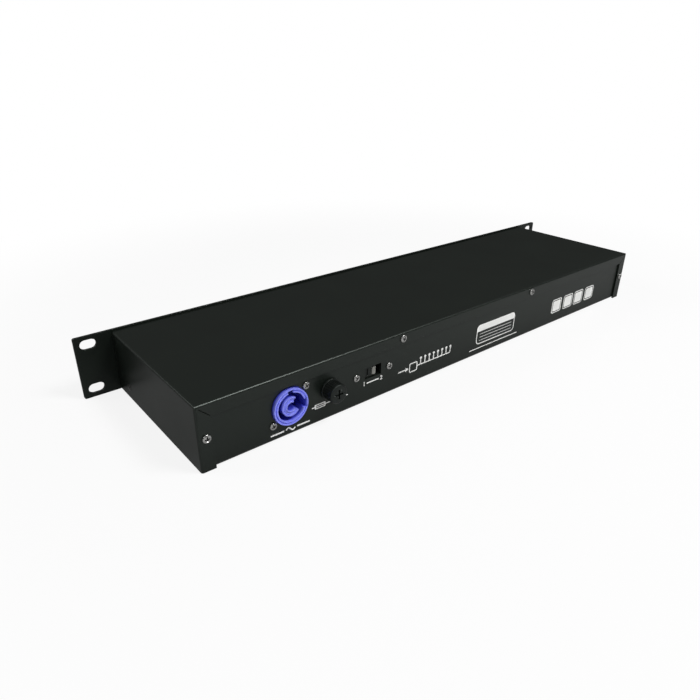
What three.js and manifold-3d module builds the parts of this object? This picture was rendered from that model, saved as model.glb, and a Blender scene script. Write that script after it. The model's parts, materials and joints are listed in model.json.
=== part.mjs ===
// A one-unit rack splitter for stage lighting data: two inputs and eight outputs on the front panel,
// a switch beside each output, and the mains inlet, fuse and voltage selector on the rear wall.
// Millimetres, +Z up. The origin is the middle of the underside, the front panel faces -Y,
// and +X is to the right of someone who looks at the front.
import * as THREE from "three";
import { mergeVertices } from "three/addons/utils/BufferGeometryUtils.js";
import Module from "manifold-3d";

const wasm = await Module();
wasm.setup();

// Driving dimensions of the case and the rack panel
const panelWidth = 482.6;
const panelHeight = 43.7;
const panelThickness = 2;
const panelCornerRadius = 1.2;
const earWidth = 24.3;
const caseDepth = 120;
const caseHeight = 42.5;
const sheet = 1.2;
const coverBendRadius = 1.5;
const trayBendRadius = 2.5;
const frontLipHeight = 8;

// Bare steel on the back of the panel, masked from the powder coat so that the case makes contact with it
const coatThickness = 0.1;
const maskMargin = 0.5; // beyond the sides of the case

// Clearances and overruns
const gap = 0.1; // between two pieces that seat on each other
const shankFit = 0.15; // round a shank in its hole
const runningFit = 0.3; // round anything that moves
const overrun = 1; // how far a cut runs past a face
const mergeDistance = 1e-4;

// Studs pressed into the front panel, which pass through the tray's front lip
const studRadius = 1.4;
const studLength = 4;
const studInset = 12;
const studHeight = 4.6;

// Slots of the rack ears
const slotInset = 8.75;
const slotRise = 31.75;
const slotLength = 10.5;
const slotHeight = 6.8;

// Flanges of the cover round the rear wall
const topFlangeHeight = 8.4;
const cornerFlangeWidth = 9;
const mitreWidth = 0.4;
const mitreShare = 0.72; // of the way from the inner corner to the outer one

// Screws
const coverScrew = { headRadius: 2.7, headHeight: 1.3, shankRadius: 1.4, shankLength: 5 };
const smallScrew = { headRadius: 2.5, headHeight: 1.2, shankRadius: 1.4, shankLength: 8 };
const recessWidthShare = 0.3; // of the head's radius
const recessReachShare = 0.67; // of the head's radius
const recessDepthShare = 0.6; // of the head's height
const crownShares = { rim: 0.5, edge: 0.8, shoulder: 0.88 }; // heights and radius of the head's dome
const cornerScrewInset = 5;
const topScrewSpacing = 140;
const topScrewShift = 1.6; // of the pair, towards the left side
const topScrewDrop = 4.1;

// Places on the rear wall, from the case's right side and from one piece to the next
const rearLine = 21.3;
const inletInset = 59;
const inletDrop = 0.7; // of the inlet below that line
const inletToFuse = 29.8;
const fuseToSelector = 35;

// Places on the front panel, from the case's sides
const frontMargin = 20;
const channelPitch = 38;
const toggleOffset = 19;
const ledToSwitch = 17;
const inputCount = 2;
const outputCount = 8;

// Flange of every round connector, and the five contacts inside
const flange = { width: 26, height: 31, thickness: 2, cornerRadius: 3, screwX: 9.5, screwZ: 12 };
const flangeHoleRadius = 1.6;
const barrelRadius = 11.7;
const barrelHoleFit = 0.3;
const contactCount = 5;
const contactRing = 5.4;
const contactStep = 60;
const contactStart = 150;
const footHalfWidth = 10.5;
const footSetback = 3;

// Output sockets and their latches
const socket = { depth: 22, grooveDepth: 13, grooveOuter: 9.7, grooveInner: 7.9 };
const socketHoleRadius = 1.1;
const socketHoleDepth = 9;
const latch = {
  tabWidth: 9, tabBase: 10.5, tabTop: 15.3, tabThickness: 1.9, standOff: 0.3,
  stemWidth: 4.2, stemHeight: 1, stemReach: 10.4, travel: 1.8,
};

// Input plugs
const plug = { depth: 20, wellDepth: 16, wellRadius: 9.6 };
const pinRadius = 1;
const pinSetback = 2.4;
const insertThickness = 3;
const keyWidth = 4.4;
const keyDepth = 1.2;
const keyLength = 4;

// Toggle switches
const toggle = { width: 8, height: 13, depth: 9.5, bushingRadius: 3, bushingReach: 6 };
const toggleNut = { radius: 4.6, thickness: 2 };
const toggleBore = { radius: 2.2, depth: 4.6 };
const toggleTerminal = { width: 1, height: 2.4, length: 4, pitch: 4.7 };
const lever = { pivotDepth: 2, ballRadius: 1.9, neckRadius: 1.1, tipRadius: 1.5, reach: 10 };
const leverTilt = 13;
const tipShares = { edge: 0.7, shoulder: 0.25 }; // of the tip's radius

// Power switch with its rocker
const powerSwitch = {
  bezelWidth: 15, bezelHeight: 21, bezelThickness: 1.5, bodyWidth: 12.6, bodyHeight: 18.8,
};
const switchDepth = 17;
const switchHoleFit = 0.2;
const rocker = { width: 10.2, radius: 8.6, pivotDepth: 1, edgeRise: 3.4, middleRise: 2.2, skirt: 3 };
const rockerTilt = 8;
const rockerPocketDepth = 5;
const switchTerminal = { width: 4.8, thickness: 0.8, length: 7, pitch: 8 };

// Power lamp
const lamp = { radius: 1.5, reach: 1.8, collarRadius: 2, bodyDepth: 3.4 };
const lampLeg = { width: 0.5, spacing: 2.5 };
const domeShares = { edge: 0.7, shoulder: 0.85 }; // of the lamp's radius and reach

// Mains inlet
const inlet = {
  noseRadius: 12.2, proud: 2.2, flangeThickness: 3, rearRadius: 11.5, rearDepth: 26,
  grooveOuter: 9.3, coreRadius: 6.3, coreBore: 2.8, grooveDepth: 13, coreGapDepth: 8,
};
const inletHoleFit = 0.3;
const coreGapFrom = -35;
const coreGapTo = 60;
const keyNotches = [{ angle: 103, width: 3.6 }, { angle: 3, width: 5.2 }];
const notchReach = 1.9;
const notchDepth = 12;
const blade = { width: 6.3, thickness: 0.8, length: 8, spread: 6 };

// Fuse holder, its nut and cap, and the fuse
const holder = {
  flangeOverhang: 1.2, flangeThickness: 1.4, barrelRadius: 6, barrelDepth: 32, boreRadius: 4.9, boreDepth: 31,
};
const holderTerminal = { width: 2.8, thickness: 0.6, length: 5 };
const holderNut = { radius: 8.6, thickness: 3 };
const cap = {
  radius: 6.6, length: 7.7, stemRadius: 4.6, stemLength: 10, pocketRadius: 3, pocketDepth: 6, edge: 0.6,
};
const capCross = { length: 6.4, width: 1.2, depth: 1.2 };
const fuseBody = { radius: 2.6, length: 20, ferruleLength: 5, glassRadius: 2.35 };

// Voltage selector
const selector = { width: 35, height: 13, depth: 11, windowWidth: 14, windowHeight: 8, pocketDepth: 5 };
const selectorScrewSpacing = 28;
const selectorWindowLift = 0.5;
const slider = { width: 9.6, height: 7.2, setback: 1, slotWidth: 1, slotLength: 5, slotDepth: 0.8, slotInset: 2.6 };
const sliderRidge = { width: 3, height: 5, rise: 0.8, inset: 0.2 };
const sliderTravel = 3.7;
const selectorTerminal = { width: 2, thickness: 0.8, length: 5, pitch: 9 };

// Circuit board
const board = { lift: 6, thickness: 1.6, margin: 9, frontStrip: 26, depth: 76, lampMargin: 5 };
const standoffRadius = 3;
const boardShortfall = 24; // how far the wide part of the board stops short of the transformer
const receiver = { width: 9, depth: 6.5, height: 3.2 };
const driver = { width: 5, depth: 6, height: 1.8 };
const converter = { width: 11, depth: 8, height: 8 };
const capacitor = { radius: 6.3, height: 22, pitch: 16, count: 2 };
const boardRows = 4; // rows of parts on the wide part of the board, with the free edge

// Transformer
const core = { width: 48, depth: 26, height: 31, footLength: 60, footThickness: 1.2 };
const coil = { width: 30, depth: 42, height: 23 };
const transformerOffset = 7;
const transformerSetback = 2;

// Mains wiring
const loomRadius = 2.4;
const loomSides = 8;
const loomSteps = 26;

// Round shapes: how many sides each kind has
const holeSides = 6;
const nutSides = 6;
const smallSides = 8;
const screwSides = 10;
const sides = 16;
const fineSides = 32;
const bendSegments = 3;

// Places that several pieces share
const caseWidth = panelWidth - 2 * earWidth;
const frontFace = -caseDepth / 2 - panelThickness;
const panelBack = -caseDepth / 2;
const caseFront = panelBack + gap;
const wallOuter = caseDepth / 2 - sheet - gap;
const wallInner = wallOuter - sheet;
const trayHalfWidth = caseWidth / 2 - sheet - gap;
const connectorLine = panelHeight / 2;
const boardTop = board.lift + board.thickness;
const inletX = caseWidth / 2 - inletInset;
const inletLine = rearLine - inletDrop;
const fuseX = inletX - inletToFuse;
const selectorX = fuseX - fuseToSelector;
const firstInputX = -caseWidth / 2 + frontMargin;
const firstOutputX = firstInputX + inputCount * channelPitch;
const switchX = caseWidth / 2 - frontMargin;
const lampX = switchX - ledToSwitch;
const transformerX = inletX + transformerOffset;

// Finishes
const finish = {
  powderCoat: new THREE.MeshStandardMaterial({ color: 0x17191a, roughness: 0.55, metalness: 0.1 }),
  zinc: new THREE.MeshStandardMaterial({ color: 0xb9b8b0, roughness: 0.35, metalness: 0.9 }),
  nickel: new THREE.MeshStandardMaterial({ color: 0xa8a7a2, roughness: 0.3, metalness: 0.95 }),
  blueNylon: new THREE.MeshStandardMaterial({ color: 0x3a47d8, roughness: 0.45, metalness: 0 }),
  blackNylon: new THREE.MeshStandardMaterial({ color: 0x111213, roughness: 0.5, metalness: 0 }),
  paleAcetal: new THREE.MeshStandardMaterial({ color: 0x9a9a92, roughness: 0.45, metalness: 0 }),
  glass: new THREE.MeshStandardMaterial({ color: 0xcfd8d4, roughness: 0.1, metalness: 0 }),
  lampGreen: new THREE.MeshStandardMaterial({ color: 0x3fbf4a, roughness: 0.25, metalness: 0 }),
  laminate: new THREE.MeshStandardMaterial({ color: 0x1f5a34, roughness: 0.55, metalness: 0 }),
  coreSteel: new THREE.MeshStandardMaterial({ color: 0x6d6a63, roughness: 0.6, metalness: 0.7 }),
  cable: new THREE.MeshStandardMaterial({ color: 0x1b1b1d, roughness: 0.6, metalness: 0 }),
};

const radians = THREE.MathUtils.degToRad;
const alongX = new THREE.Matrix4().makeBasis(
  new THREE.Vector3(0, 1, 0), new THREE.Vector3(0, 0, 1), new THREE.Vector3(1, 0, 0),
);

// A closed geometry as a solid that can be joined and cut
function solid(geometry) {
  const bare = geometry.index ? geometry.toNonIndexed() : geometry.clone();
  bare.deleteAttribute("normal");
  bare.deleteAttribute("uv");
  const merged = mergeVertices(bare, mergeDistance);
  const index = merged.index.array;
  const triVerts = [];
  for (let i = 0; i < index.length; i += 3) {
    const [a, b, c] = index.slice(i, i + 3);
    if (a !== b && b !== c && c !== a) {
      triVerts.push(a, b, c);
    }
  }
  return new wasm.Manifold(new wasm.Mesh({
    numProp: 3,
    vertProperties: merged.attributes.position.array,
    triVerts: new Uint32Array(triVerts),
  }));
}

function joined(first, ...rest) {
  return rest.reduce((whole, piece) => whole.add(piece), first);
}

function without(first, ...cutters) {
  return cutters.reduce((whole, cutter) => whole.subtract(cutter), first);
}

function block([x0, x1], [y0, y1], [z0, z1]) {
  const made = new THREE.BoxGeometry(x1 - x0, y1 - y0, z1 - z0);
  made.translate((x0 + x1) / 2, (y0 + y1) / 2, (z0 + z1) / 2);
  return solid(made);
}

// A round bar along Y, centred on x and z
function barY(radius, [y0, y1], [x, z], count = sides) {
  const made = new THREE.CylinderGeometry(radius, radius, y1 - y0, count);
  made.translate(x, (y0 + y1) / 2, z);
  return solid(made);
}

// A round bar along Z, centred on x and y
function barZ(radius, [z0, z1], [x, y], count = sides) {
  const made = new THREE.CylinderGeometry(radius, radius, z1 - z0, count);
  made.rotateX(Math.PI / 2);
  made.translate(x, y, (z0 + z1) / 2);
  return solid(made);
}

// An outline in x and z, drawn out along Y
function plateY(outline, [y0, y1]) {
  const made = new THREE.ExtrudeGeometry(outline, {
    depth: y1 - y0, bevelEnabled: false, curveSegments: bendSegments,
  });
  made.rotateX(Math.PI / 2);
  made.translate(0, y1, 0);
  return solid(made);
}

// An outline in y and z, drawn out along X
function plateX(outline, [x0, x1]) {
  const made = new THREE.ExtrudeGeometry(outline, {
    depth: x1 - x0, bevelEnabled: false, curveSegments: bendSegments,
  });
  made.applyMatrix4(alongX);
  made.translate(x0, 0, 0);
  return solid(made);
}

// An outline in x and y, drawn out along Z
function plateZ(outline, [z0, z1]) {
  const made = new THREE.ExtrudeGeometry(outline, {
    depth: z1 - z0, bevelEnabled: false, curveSegments: bendSegments,
  });
  made.translate(0, 0, z0);
  return solid(made);
}

// A turned piece about Y, from radius and y pairs that start and end on the axis
function turned(profile, [x, z] = [0, 0], count = sides) {
  const made = new THREE.LatheGeometry(profile.map(([r, y]) => new THREE.Vector2(r, y)), count);
  made.translate(x, 0, z);
  return solid(made);
}

// A rectangle whose corners are rounded, each by its own radius, from the low corner anticlockwise
function roundedOutline([u0, u1], [v0, v1], radii) {
  const corners = [[u0, v0, 1, 1], [u1, v0, -1, 1], [u1, v1, -1, -1], [u0, v1, 1, -1]];
  const outline = new THREE.Shape();
  outline.moveTo(u0, v0 + radii[0]);
  corners.forEach(([u, v, inU, inV], i) => {
    const radius = radii[i];
    const start = Math.PI + i * Math.PI / 2;
    if (radius > 0) {
      outline.absarc(u + inU * radius, v + inV * radius, radius, start, start + Math.PI / 2, false);
    } else {
      outline.lineTo(u, v);
    }
  });
  return outline;
}

// A slot with round ends, as an outline
function slotOutline(x, z, length, height) {
  const radius = height / 2;
  const reach = length / 2 - radius;
  const outline = new THREE.Shape();
  outline.moveTo(x - reach, z - radius);
  outline.lineTo(x + reach, z - radius);
  outline.absarc(x + reach, z, radius, -Math.PI / 2, Math.PI / 2, false);
  outline.lineTo(x - reach, z + radius);
  outline.absarc(x - reach, z, radius, Math.PI / 2, 1.5 * Math.PI, false);
  return outline;
}

// The solid as a named mesh
function named(name, shape, material) {
  const { vertProperties, triVerts } = shape.getMesh();
  const made = new THREE.BufferGeometry();
  made.setAttribute("position", new THREE.BufferAttribute(new Float32Array(vertProperties), 3));
  made.setIndex(new THREE.BufferAttribute(new Uint32Array(triVerts), 1));
  const flat = made.toNonIndexed();
  flat.computeVertexNormals();
  const mesh = new THREE.Mesh(flat, material);
  mesh.name = name;
  return mesh;
}

function grouped(...children) {
  const group = new THREE.Group();
  group.add(...children);
  return group;
}

// A pan head screw that points along -Y, with the underside of its head at the origin
function screwSolid({ headRadius, headHeight, shankRadius, shankLength }) {
  const profile = [
    [0, -shankLength],
    [shankRadius, -shankLength],
    [shankRadius, 0],
    [headRadius, 0],
    [headRadius, headHeight * crownShares.rim],
    [headRadius * crownShares.edge, headHeight * crownShares.shoulder],
    [0, headHeight],
  ];
  const half = headRadius * recessWidthShare / 2;
  const arm = headRadius * recessReachShare;
  const cut = [headHeight * (1 - recessDepthShare), headHeight + overrun];
  return without(
    turned(profile, [0, 0], screwSides),
    block([-arm, arm], cut, [-half, half]),
    block([-half, half], cut, [-arm, arm]),
  );
}

function rearScrew(name, size, seat, [x, z]) {
  const mesh = named(name, screwSolid(size), finish.zinc);
  mesh.position.set(x, seat + gap, z);
  return mesh;
}

const cornerScrewX = caseWidth / 2 - cornerScrewInset;
const coverScrewPlaces = {
  cover_screw_right: [cornerScrewX, rearLine],
  cover_screw_left: [-cornerScrewX, rearLine],
  cover_screw_top_right: [topScrewSpacing / 2 - topScrewShift, caseHeight - topScrewDrop],
  cover_screw_top_left: [-topScrewSpacing / 2 - topScrewShift, caseHeight - topScrewDrop],
};
const inletScrewPlaces = {
  inlet_screw_upper: [inletX - flange.screwZ, inletLine + flange.screwX],
  inlet_screw_lower: [inletX + flange.screwZ, inletLine - flange.screwX],
};
const selectorScrewPlaces = {
  selector_screw_right: [selectorX + selectorScrewSpacing / 2, rearLine],
  selector_screw_left: [selectorX - selectorScrewSpacing / 2, rearLine],
};

// Holes for shanks, right through one wall of the rear
function shankHoles(places, { shankRadius }, span) {
  return Object.values(places).map((place) => barY(shankRadius + shankFit, span, place, smallSides));
}

// The case: tray, cover and front panel

function standoffPlaces() {
  const left = firstInputX;
  const right = transformerX - boardShortfall - core.width / 2 - standoffRadius;
  const rear = caseFront + board.depth - standoffRadius;
  const front = caseFront + board.frontStrip;
  return [left, (left + right) / 2, right].flatMap((x) => [[x, front], [x, rear]]);
}

function chassisTray() {
  const width = [-trayHalfWidth, trayHalfWidth];
  const wallTop = caseHeight - sheet - gap;
  const innerRadius = trayBendRadius - sheet;
  const outer = roundedOutline([caseFront, wallOuter], [0, wallTop], [trayBendRadius, trayBendRadius, 0, 0]);
  const inner = roundedOutline(
    [caseFront + sheet, wallInner], [sheet, wallTop + overrun], [innerRadius, innerRadius, 0, 0],
  );
  const channel = without(
    plateX(outer, width),
    plateX(inner, [-trayHalfWidth - overrun, trayHalfWidth + overrun]),
    block(
      [-trayHalfWidth - overrun, trayHalfWidth + overrun],
      [caseFront - overrun, wallInner - trayBendRadius],
      [frontLipHeight, wallTop + overrun],
    ),
  );
  const lipSpan = [caseFront + trayBendRadius, wallOuter - trayBendRadius];
  const sideLips = [-trayHalfWidth, trayHalfWidth - sheet].map(
    (x) => block([x, x + sheet], lipSpan, [0, frontLipHeight]),
  );
  const standoffs = standoffPlaces().map(
    (place) => barZ(standoffRadius, [sheet / 2, board.lift - gap], place, smallSides),
  );
  const through = [wallInner - overrun, wallOuter + overrun];
  const throughLip = [caseFront - overrun, caseFront + sheet + overrun];
  const windowZ = rearLine + selectorWindowLift;
  return named("chassis_tray", without(
    joined(channel, ...sideLips, ...standoffs),
    barY(inlet.noseRadius + inletHoleFit, through, [inletX, inletLine], fineSides),
    barY(holder.barrelRadius + shankFit, through, [fuseX, rearLine]),
    block(
      [selectorX - selector.windowWidth / 2, selectorX + selector.windowWidth / 2],
      through,
      [windowZ - selector.windowHeight / 2, windowZ + selector.windowHeight / 2],
    ),
    ...shankHoles(coverScrewPlaces, coverScrew, through),
    ...shankHoles(inletScrewPlaces, smallScrew, through),
    ...shankHoles(selectorScrewPlaces, smallScrew, through),
    ...studPlaces().map((place) => barY(studRadius + shankFit, throughLip, place, smallSides)),
  ), finish.powderCoat);
}

// The slit of a mitred corner of the cover's rear flanges
function mitreSlit(side) {
  const inner = new THREE.Vector2(caseWidth / 2 - cornerFlangeWidth, caseHeight - topFlangeHeight);
  const outer = new THREE.Vector2(caseWidth / 2, caseHeight);
  const end = inner.clone().lerp(outer, mitreShare);
  const start = inner.clone().lerp(outer, -mitreShare / 2);
  const across = outer.clone().sub(inner).normalize().multiplyScalar(mitreWidth / 2);
  const outline = new THREE.Shape([
    new THREE.Vector2(side * (start.x - across.y), start.y + across.x),
    new THREE.Vector2(side * (start.x + across.y), start.y - across.x),
    new THREE.Vector2(side * (end.x + across.y), end.y - across.x),
    new THREE.Vector2(side * (end.x - across.y), end.y + across.x),
  ]);
  return plateY(outline, [caseDepth / 2 - sheet, caseDepth / 2 + overrun]);
}

function topCover() {
  const half = caseWidth / 2;
  const rear = caseDepth / 2;
  const bend = coverBendRadius;
  const fromBehind = roundedOutline([-half, half], [gap, caseHeight], [0, 0, bend, bend]);
  const fromTheSide = roundedOutline([caseFront, rear], [gap, caseHeight], [0, 0, bend, 0]);
  const fromAbove = roundedOutline([-half, half], [caseFront, rear], [0, 0, bend, bend]);
  const hull = plateY(fromBehind, [caseFront, rear])
    .intersect(plateX(fromTheSide, [-half, half]))
    .intersect(plateZ(fromAbove, [gap, caseHeight]));
  const hollow = block(
    [-half + sheet, half - sheet], [caseFront - overrun, rear - sheet], [-overrun, caseHeight - sheet],
  );
  const rearWindow = block(
    [-half + cornerFlangeWidth, half - cornerFlangeWidth],
    [rear - sheet - overrun, rear + overrun],
    [-overrun, caseHeight - topFlangeHeight],
  );
  return named("top_cover", without(
    hull, hollow, rearWindow, mitreSlit(1), mitreSlit(-1),
    ...shankHoles(coverScrewPlaces, coverScrew, [rear - sheet - overrun, rear + overrun]),
  ), finish.powderCoat);
}

// Press-in studs that hold the panel to the front lip of the tray
function studPlaces() {
  const outer = trayHalfWidth - studInset;
  return [-outer, -outer / 3, outer / 3, outer].map((x) => [x, studHeight]);
}

function connectorPlaces() {
  return Array.from({ length: inputCount + outputCount }, (_, i) => firstInputX + i * channelPitch);
}

function circleHole(x, z, radius, count) {
  const points = Array.from({ length: count }, (_, i) => {
    const angle = 2 * Math.PI * (i + 0.5) / count;
    return new THREE.Vector2(x + radius * Math.cos(angle), z + radius * Math.sin(angle));
  });
  return new THREE.Path(points);
}

function frontPanel() {
  const half = panelWidth / 2;
  const outline = roundedOutline([-half, half], [0, panelHeight], Array(4).fill(panelCornerRadius));
  for (const side of [-1, 1]) {
    for (const rise of [-1, 1]) {
      const x = side * (half - slotInset);
      const z = connectorLine + rise * slotRise / 2;
      outline.holes.push(slotOutline(x, z, slotLength, slotHeight));
    }
  }
  for (const x of connectorPlaces()) {
    outline.holes.push(circleHole(x, connectorLine, barrelRadius + barrelHoleFit, sides));
  }
  for (let i = 0; i < outputCount; i += 1) {
    const x = firstOutputX + i * channelPitch + toggleOffset;
    outline.holes.push(circleHole(x, connectorLine, toggle.bushingRadius + runningFit, smallSides));
  }
  outline.holes.push(circleHole(lampX, connectorLine, lamp.radius + shankFit, smallSides));
  const switchWidth = powerSwitch.bodyWidth / 2 + switchHoleFit;
  const switchHeight = powerSwitch.bodyHeight / 2 + switchHoleFit;
  outline.holes.push(roundedOutline(
    [switchX - switchWidth, switchX + switchWidth],
    [connectorLine - switchHeight, connectorLine + switchHeight],
    [0, 0, 0, 0],
  ));
  const studs = studPlaces().map(
    (place) => barY(studRadius, [panelBack - panelThickness / 2, panelBack + studLength], place, smallSides),
  );
  const bare = block(
    [-caseWidth / 2 - maskMargin, caseWidth / 2 + maskMargin],
    [panelBack - coatThickness, panelBack + overrun],
    [-overrun, panelHeight + overrun],
  );
  return named("front_panel", joined(
    plateY(outline, [frontFace, panelBack]).subtract(bare), ...studs,
  ), finish.powderCoat);
}

// Front connectors, made round x = 0 and placed by their group

function contactPlaces() {
  return Array.from({ length: contactCount }, (_, i) => {
    const angle = radians(contactStart + i * contactStep);
    return [contactRing * Math.cos(angle), connectorLine + contactRing * Math.sin(angle)];
  });
}

const flangeFront = frontFace - gap - flange.thickness;

// The flange, the barrel behind it and the foot that stands on the board
function connectorBlank(depth) {
  const outline = roundedOutline(
    [-flange.width / 2, flange.width / 2],
    [connectorLine - flange.height / 2, connectorLine + flange.height / 2],
    Array(4).fill(flange.cornerRadius),
  );
  const barrelEnd = flangeFront + flange.thickness + depth;
  const foot = block(
    [-footHalfWidth, footHalfWidth], [panelBack + footSetback, barrelEnd], [boardTop + gap, connectorLine],
  );
  return joined(
    plateY(outline, [flangeFront, flangeFront + flange.thickness]),
    barY(barrelRadius, [flangeFront + flange.thickness / 2, barrelEnd], [0, connectorLine]),
    foot,
  );
}

function flangeScrewHoles() {
  const span = [flangeFront - overrun, frontFace];
  return [-1, 1].map((side) => barY(
    flangeHoleRadius, span, [side * flange.screwX, connectorLine - side * flange.screwZ], holeSides,
  ));
}

function outputSocket(name) {
  const grooveEnd = flangeFront + socket.grooveDepth;
  const mouth = flangeFront - overrun;
  const groove = without(
    barY(socket.grooveOuter, [mouth, grooveEnd], [0, connectorLine]),
    barY(socket.grooveInner, [mouth - overrun, grooveEnd + overrun], [0, connectorLine]),
  );
  const tabNotch = block(
    [-latch.tabWidth / 2 - runningFit, latch.tabWidth / 2 + runningFit],
    [mouth, frontFace - gap],
    [connectorLine + latch.tabBase - runningFit, connectorLine + flange.height / 2 + overrun],
  );
  const stemNotch = block(
    [-latch.stemWidth / 2 - runningFit, latch.stemWidth / 2 + runningFit],
    [mouth, flangeFront + latch.stemReach + 2 * latch.travel],
    [connectorLine + socket.grooveOuter - runningFit, connectorLine + barrelRadius + overrun],
  );
  const holes = contactPlaces().map(
    (place) => barY(socketHoleRadius, [mouth, flangeFront + socketHoleDepth], place, holeSides),
  );
  return named(name, without(
    connectorBlank(socket.depth), groove, tabNotch, stemNotch, ...holes, ...flangeScrewHoles(),
  ), finish.blackNylon);
}

function outputLatch(name) {
  const tabBack = flangeFront - latch.standOff;
  const base = connectorLine + latch.tabBase;
  return named(name, joined(
    block(
      [-latch.tabWidth / 2, latch.tabWidth / 2],
      [tabBack - latch.tabThickness, tabBack],
      [base, connectorLine + latch.tabTop],
    ),
    block(
      [-latch.stemWidth / 2, latch.stemWidth / 2],
      [tabBack - latch.tabThickness / 2, tabBack + latch.stemReach],
      [base, base + latch.stemHeight],
    ),
  ), finish.nickel);
}

function inputShell(name) {
  const wellEnd = flangeFront + plug.wellDepth;
  const mouth = flangeFront - overrun;
  const keyTop = connectorLine + plug.wellRadius + keyDepth;
  return named(name, without(
    connectorBlank(plug.depth),
    barY(plug.wellRadius, [mouth, wellEnd], [0, connectorLine]),
    block([-keyWidth / 2, keyWidth / 2], [mouth, flangeFront + keyLength], [connectorLine, keyTop]),
    ...flangeScrewHoles(),
  ), finish.nickel);
}

function inputInsert(name) {
  const back = flangeFront + plug.wellDepth - gap;
  const discFront = back - insertThickness;
  const disc = barY(plug.wellRadius - shankFit, [discFront, back], [0, connectorLine]);
  const pinSpan = [flangeFront + pinSetback, discFront + insertThickness / 2];
  const pins = contactPlaces().map((place) => barY(pinRadius, pinSpan, place, smallSides));
  return named(name, joined(disc, ...pins), finish.blackNylon);
}

// A toggle switch, made round x = 0: the body with its bushing and nut, then the lever

function toggleBody(name) {
  const bodyFront = panelBack + gap;
  const bodyBack = bodyFront + toggle.depth;
  const bushingFront = frontFace - toggle.bushingReach;
  const nutBack = frontFace - gap;
  const bore = [bushingFront - overrun, bushingFront + toggleBore.depth];
  const terminals = [-1, 0, 1].map((step) => block(
    [-toggleTerminal.width / 2, toggleTerminal.width / 2],
    [bodyBack - overrun, bodyBack + toggleTerminal.length],
    [
      connectorLine + step * toggleTerminal.pitch - toggleTerminal.height / 2,
      connectorLine + step * toggleTerminal.pitch + toggleTerminal.height / 2,
    ],
  ));
  return named(name, without(
    joined(
      block(
        [-toggle.width / 2, toggle.width / 2],
        [bodyFront, bodyBack],
        [connectorLine - toggle.height / 2, connectorLine + toggle.height / 2],
      ),
      barY(toggle.bushingRadius, [bushingFront, bodyFront + overrun], [0, connectorLine], smallSides),
      barY(toggleNut.radius, [nutBack - toggleNut.thickness, nutBack], [0, connectorLine], nutSides),
      ...terminals,
    ),
    barY(toggleBore.radius, bore, [0, connectorLine], smallSides),
  ), finish.nickel);
}

const leverPivot = frontFace - toggle.bushingReach + lever.pivotDepth;

function toggleLever(name) {
  const tip = -lever.pivotDepth - lever.reach;
  const ball = lever.ballRadius;
  const profile = [
    [0, tip],
    [lever.tipRadius * tipShares.edge, tip + lever.tipRadius * tipShares.shoulder],
    [lever.tipRadius, tip + lever.tipRadius],
    [lever.neckRadius, -ball],
    [ball * Math.SQRT1_2, -ball * Math.SQRT1_2],
    [ball, 0],
    [ball * Math.SQRT1_2, ball * Math.SQRT1_2],
    [0, ball],
  ];
  const mesh = named(name, turned(profile, [0, 0], smallSides), finish.nickel);
  mesh.position.set(0, leverPivot, connectorLine);
  mesh.rotation.x = -radians(leverTilt);
  return mesh;
}

// Power switch, rocker and lamp

const rockerPivot = frontFace + rocker.pivotDepth;

function powerSwitchBody() {
  const bezelFront = frontFace - gap - powerSwitch.bezelThickness;
  const bodyBack = frontFace + switchDepth;
  const pocketWidth = rocker.width / 2 + runningFit;
  const pocketHeight = rocker.radius + runningFit;
  const terminals = [-1, 1].map((step) => block(
    [switchX - switchTerminal.width / 2, switchX + switchTerminal.width / 2],
    [bodyBack - overrun, bodyBack + switchTerminal.length],
    [
      connectorLine + step * switchTerminal.pitch / 2 - switchTerminal.thickness / 2,
      connectorLine + step * switchTerminal.pitch / 2 + switchTerminal.thickness / 2,
    ],
  ));
  return named("power_switch_body", without(
    joined(
      block(
        [switchX - powerSwitch.bezelWidth / 2, switchX + powerSwitch.bezelWidth / 2],
        [bezelFront, frontFace - gap],
        [connectorLine - powerSwitch.bezelHeight / 2, connectorLine + powerSwitch.bezelHeight / 2],
      ),
      block(
        [switchX - powerSwitch.bodyWidth / 2, switchX + powerSwitch.bodyWidth / 2],
        [frontFace - gap - powerSwitch.bezelThickness / 2, bodyBack],
        [connectorLine - powerSwitch.bodyHeight / 2, connectorLine + powerSwitch.bodyHeight / 2],
      ),
      ...terminals,
    ),
    block(
      [switchX - pocketWidth, switchX + pocketWidth],
      [bezelFront - overrun, rockerPivot + rockerPocketDepth],
      [connectorLine - pocketHeight, connectorLine + pocketHeight],
    ),
  ), finish.blackNylon);
}

// The rocker's outline in y and z about its pivot: two ends on one circle, and a shallow V in front
function powerRocker() {
  const { radius, edgeRise, middleRise, skirt } = rocker;
  const edge = Math.asin(edgeRise / radius);
  const low = Math.asin(skirt / radius);
  const outline = new THREE.Shape();
  outline.moveTo(-middleRise, 0);
  outline.lineTo(-edgeRise, -radius * Math.cos(edge));
  outline.absarc(0, 0, radius, Math.PI + Math.PI / 2 - edge, 1.5 * Math.PI + low, false);
  outline.lineTo(skirt, radius * Math.cos(low));
  outline.absarc(0, 0, radius, Math.PI / 2 - low, Math.PI / 2 + edge, false);
  const mesh = named(
    "power_rocker", plateX(outline, [-rocker.width / 2, rocker.width / 2]), finish.blackNylon,
  );
  mesh.position.set(switchX, rockerPivot, connectorLine);
  mesh.rotation.x = radians(rockerTilt);
  return mesh;
}

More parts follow.
